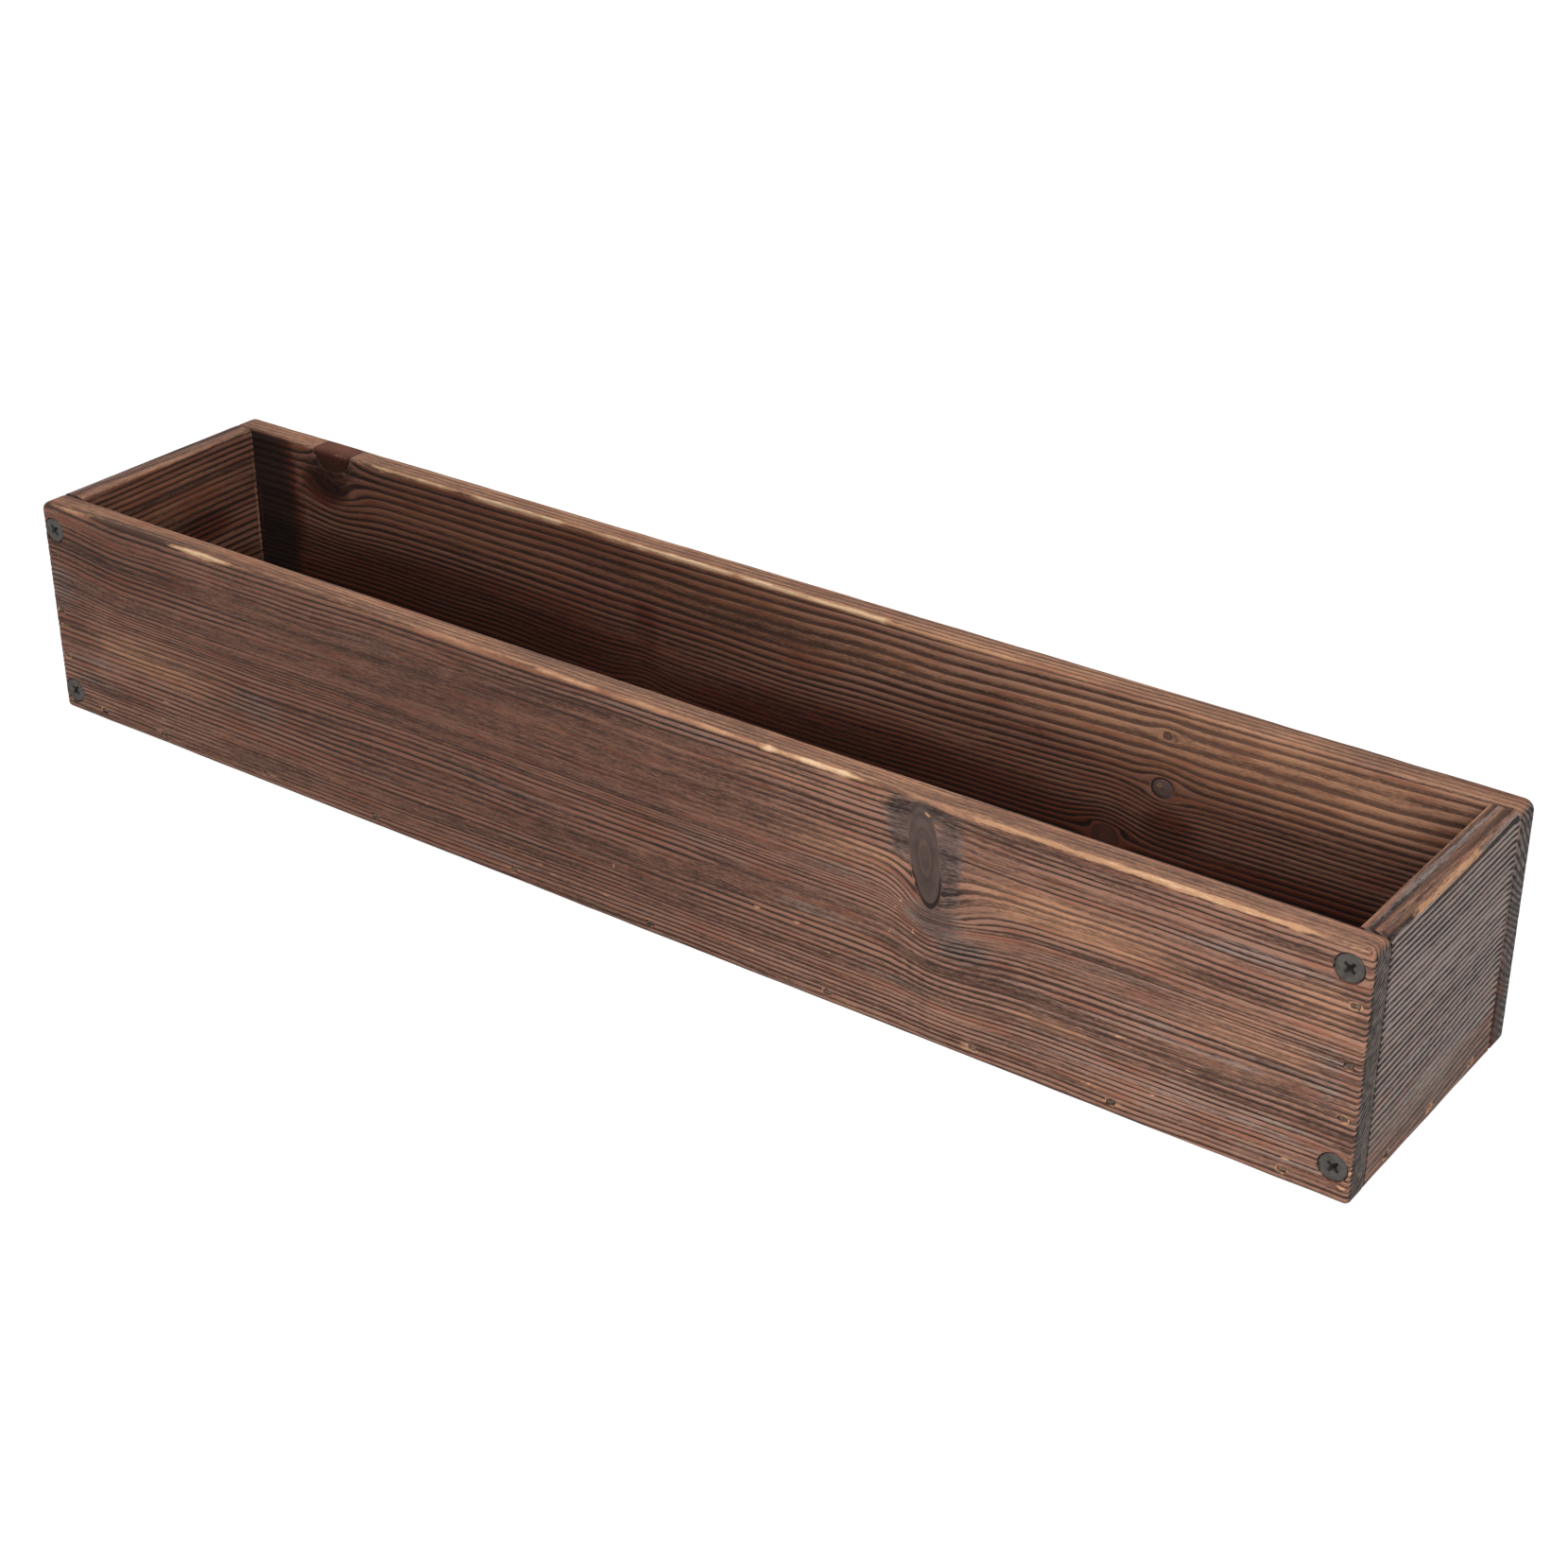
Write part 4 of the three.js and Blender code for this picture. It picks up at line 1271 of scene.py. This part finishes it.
class PLANTER_PG_stage(bpy.types.PropertyGroup):
    """The plain studio round the planter."""

    ambient: FloatProperty(name="Ambient", description="Light from all round", default=0.33, min=0.0)
    key: FloatProperty(name="Key", description="Softbox to the right", default=10.0, min=0.0, unit="POWER")
    top: FloatProperty(name="Top", description="Softbox overhead", default=9.5, min=0.0, unit="POWER")


# ---- operators


def settings():
    scene = bpy.context.scene
    return scene.planter_boards, scene.planter_fasteners, scene.planter_tones, scene.planter_stage


def dress(piece, material, slot, *nodes):
    """Gives a finished piece its material and ties it to the frame."""
    piece.data.materials.clear()
    piece.data.materials.append(material)
    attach(piece, ROOT)
    if nodes:
        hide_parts(*nodes)


def make_board(board, bm, edge, material, slot, extra_holes=None):
    sizes, fasteners, _, _ = settings()
    holes = drilled_by(board, fasteners)
    if extra_holes:
        add_copy(holes, extra_holes, Matrix.Identity(4))
        extra_holes.free()
    piece = finish_board(board, ruled(bm, board, sizes, edge), holes)
    dress(piece, material, slot, board.node)


class PLANTER_OT_long_boards(bpy.types.Operator):
    """Build the front and back boards, with their knots and rubbed top arrises"""

    bl_idname = "planter.long_boards"
    bl_label = "Front and back boards"

    def execute(self, context):
        sizes, _, tones, _ = settings()
        for name, outward, wood in (("front", -1, FRONT_WOOD), ("back", 1, BACK_WOOD)):
            board = Board(name + "_board", 0, 2, outward, wood)
            slot = "torched_" + name
            make_board(board, long_block(board, sizes), sizes.top_radius, torched_wood(slot, tones), slot)
        return {"FINISHED"}


class PLANTER_OT_end_boards(bpy.types.Operator):
    """Build the two end boards that butt between the long ones"""

    bl_idname = "planter.end_boards"
    bl_label = "End boards"

    def execute(self, context):
        sizes, _, tones, _ = settings()
        material = torched_wood("torched_end", tones)
        for node, outward, wood in (("right_end_board", 1, RIGHT_WOOD), ("left_end_board", -1, LEFT_WOOD)):
            board = Board(node, 1, 2, outward, wood)
            bm = end_block(board, sizes)
            make_board(board, bm, sizes.end_top_arris, material, "torched_end")
        return {"FINISHED"}


class PLANTER_OT_bottom_board(bpy.types.Operator):
    """Build the bottom board, with its drain holes"""

    bl_idname = "planter.bottom_board"
    bl_label = "Bottom board"

    def execute(self, context):
        sizes, _, tones, _ = settings()
        board = Board("bottom_board", 0, 1, -1, BOTTOM_WOOD)
        material = torched_wood("torched_bottom", tones)
        bm = block(board)
        bevel(bm, bm.edges[:], sizes.bottom_chamfer, 1)
        make_board(board, bm, BOTTOM_EDGE, material, "torched_bottom", drain_holes(board, sizes))
        return {"FINISHED"}


class PLANTER_OT_screws(bpy.types.Operator):
    """Build the eight countersunk screws at the corners"""

    bl_idname = "planter.screws"
    bl_label = "Screws"

    def execute(self, context):
        _, sizes, tones, _ = settings()
        material = smoked_steel("steel_screw", tones)
        pattern = screw_mesh(sizes)
        for node in fastener_names("screw"):
            mesh = pattern.copy()
            turn = SCREW_TURNS[node.split("_", 2)[2]]
            place = seat(node) @ Matrix.Rotation(math.radians(turn), 4, "Y")
            mesh.transform(Matrix.Scale(MM, 4) @ place)
            mesh.set_sharp_from_angle(angle=SHARP_STEEL)
            mesh.polygons.foreach_set("use_smooth", [True] * len(mesh.polygons))
            dress(new_object(node + "_steel", mesh), material, "steel_screw", node)
        return {"FINISHED"}


class PLANTER_OT_brads(bpy.types.Operator):
    """Finish the brads, which keep their CAD shape"""

    bl_idname = "planter.brads"
    bl_label = "Brads"

    def execute(self, context):
        material = brad_steel("brad_wire", context.scene.planter_tones)
        for name in fastener_names("brad"):
            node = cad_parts[name]
            node.data.materials.clear()
            node.data.materials.append(material)
        return {"FINISHED"}


class PLANTER_OT_stage(bpy.types.Operator):
    """Set up the camera, the soft lamps, the pale floor and the white surroundings"""

    bl_idname = "planter.stage"
    bl_label = "Stage"

    def execute(self, context):
        stage = context.scene.planter_stage
        add_camera(context.scene)
        add_floor()
        add_surroundings(context.scene, stage.ambient)
        add_softbox("key_softbox", KEY_PLACE, KEY_SIZE, stage.key)
        add_softbox("top_softbox", TOP_PLACE, TOP_SIZE, stage.top)
        context.scene.view_settings.view_transform = "Standard"
        return {"FINISHED"}


# ---- stage


def add_camera(scene):
    azimuth, elevation = math.radians(CAMERA_AZIMUTH), math.radians(CAMERA_ELEVATION)
    back = Vector(
        (
            math.sin(azimuth) * math.cos(elevation),
            -math.cos(azimuth) * math.cos(elevation),
            math.sin(elevation),
        )
    )
    data = bpy.data.cameras.new("photo_camera")
    data.sensor_width = SENSOR_WIDTH
    data.lens = CAMERA_FOCAL / PHOTO_SIZE * SENSOR_WIDTH
    camera = new_object("photo_camera", data)
    camera.location = CAMERA_TARGET + back * CAMERA_DISTANCE
    camera.rotation_mode = "QUATERNION"
    camera.rotation_quaternion = (-back).to_track_quat("-Z", "Y")
    scene.camera = camera


def add_softbox(name, place, size, power):
    data = bpy.data.lights.new(name, "AREA")
    data.shape, data.size, data.energy = "SQUARE", size, power
    lamp = new_object(name, data)
    lamp.location = place
    lamp.rotation_mode = "QUATERNION"
    lamp.rotation_quaternion = (-place).to_track_quat("-Z", "Y")


def add_floor():
    bm = bmesh.new()
    bmesh.ops.create_circle(bm, cap_ends=True, segments=96, radius=FLOOR_RADIUS)
    bmesh.ops.translate(bm, vec=(0, 0, -FLOOR_GAP), verts=bm.verts)
    floor = new_object("floor", mesh_from(bm, "floor"))
    shader = Shader(bpy.data.materials.new("pale_floor"))
    material = shader.finish(Base_Color=FLOOR_COLOUR, Roughness=0.9, Specular_IOR_Level=0.0)
    plaster = Amount(shader, shader.tree.nodes["Principled BSDF"].outputs[0])
    glow = shader.node("ShaderNodeEmission", {}, {"Strength": FLOOR_GLOW})
    shader.shown(GLOW_SHARE, plaster, glow, "Material Output")
    floor.data.materials.append(material)


def add_surroundings(scene, ambient):
    """White where it is seen, and a soft even light where it isn't."""
    scene.world = bpy.data.worlds.new("studio")
    shader = Shader(scene.world)
    shader.tree.nodes.remove(shader.tree.nodes["Background"])
    light, white = (
        shader.node("ShaderNodeBackground", {}, {"Strength": strength, "Color": WHITE})
        for strength in (ambient, 1.0)
    )
    shader.shown(1.0, light, white, "World Output")


class PLANTER_PT_panel(bpy.types.Panel):
    """Lists the planter's settings and the pieces it can build"""

    bl_idname = "PLANTER_PT_panel"
    bl_label = "Torched Window Box"
    bl_space_type = "VIEW_3D"
    bl_region_type = "UI"
    bl_category = "Planter"

    def draw(self, context):
        for name, group in GROUPS.items():
            box = self.layout.box()
            values = getattr(context.scene, name)
            for key in group.__annotations__:
                box.prop(values, key)
        for operator in OPERATORS:
            self.layout.operator(operator.bl_idname)


GROUPS = {
    "planter_boards": PLANTER_PG_boards,
    "planter_fasteners": PLANTER_PG_fasteners,
    "planter_tones": PLANTER_PG_tones,
    "planter_stage": PLANTER_PG_stage,
}
OPERATORS = (
    PLANTER_OT_long_boards,
    PLANTER_OT_end_boards,
    PLANTER_OT_bottom_board,
    PLANTER_OT_screws,
    PLANTER_OT_brads,
    PLANTER_OT_stage,
)


def register():
    for item in (*GROUPS.values(), *OPERATORS, PLANTER_PT_panel):
        bpy.utils.register_class(item)
    for name, group in GROUPS.items():
        setattr(bpy.types.Scene, name, PointerProperty(type=group))


def unregister():
    for name in GROUPS:
        delattr(bpy.types.Scene, name)
    for item in (PLANTER_PT_panel, *reversed(OPERATORS), *GROUPS.values()):
        bpy.utils.unregister_class(item)


def write_sizes():
    """Brings the view layer up to date."""
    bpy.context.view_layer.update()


def main():
    register()
    for operator in OPERATORS:
        group, name = operator.bl_idname.split(".")
        getattr(getattr(bpy.ops, group), name)()
    write_sizes()


if __name__ == "__main__":
    main()
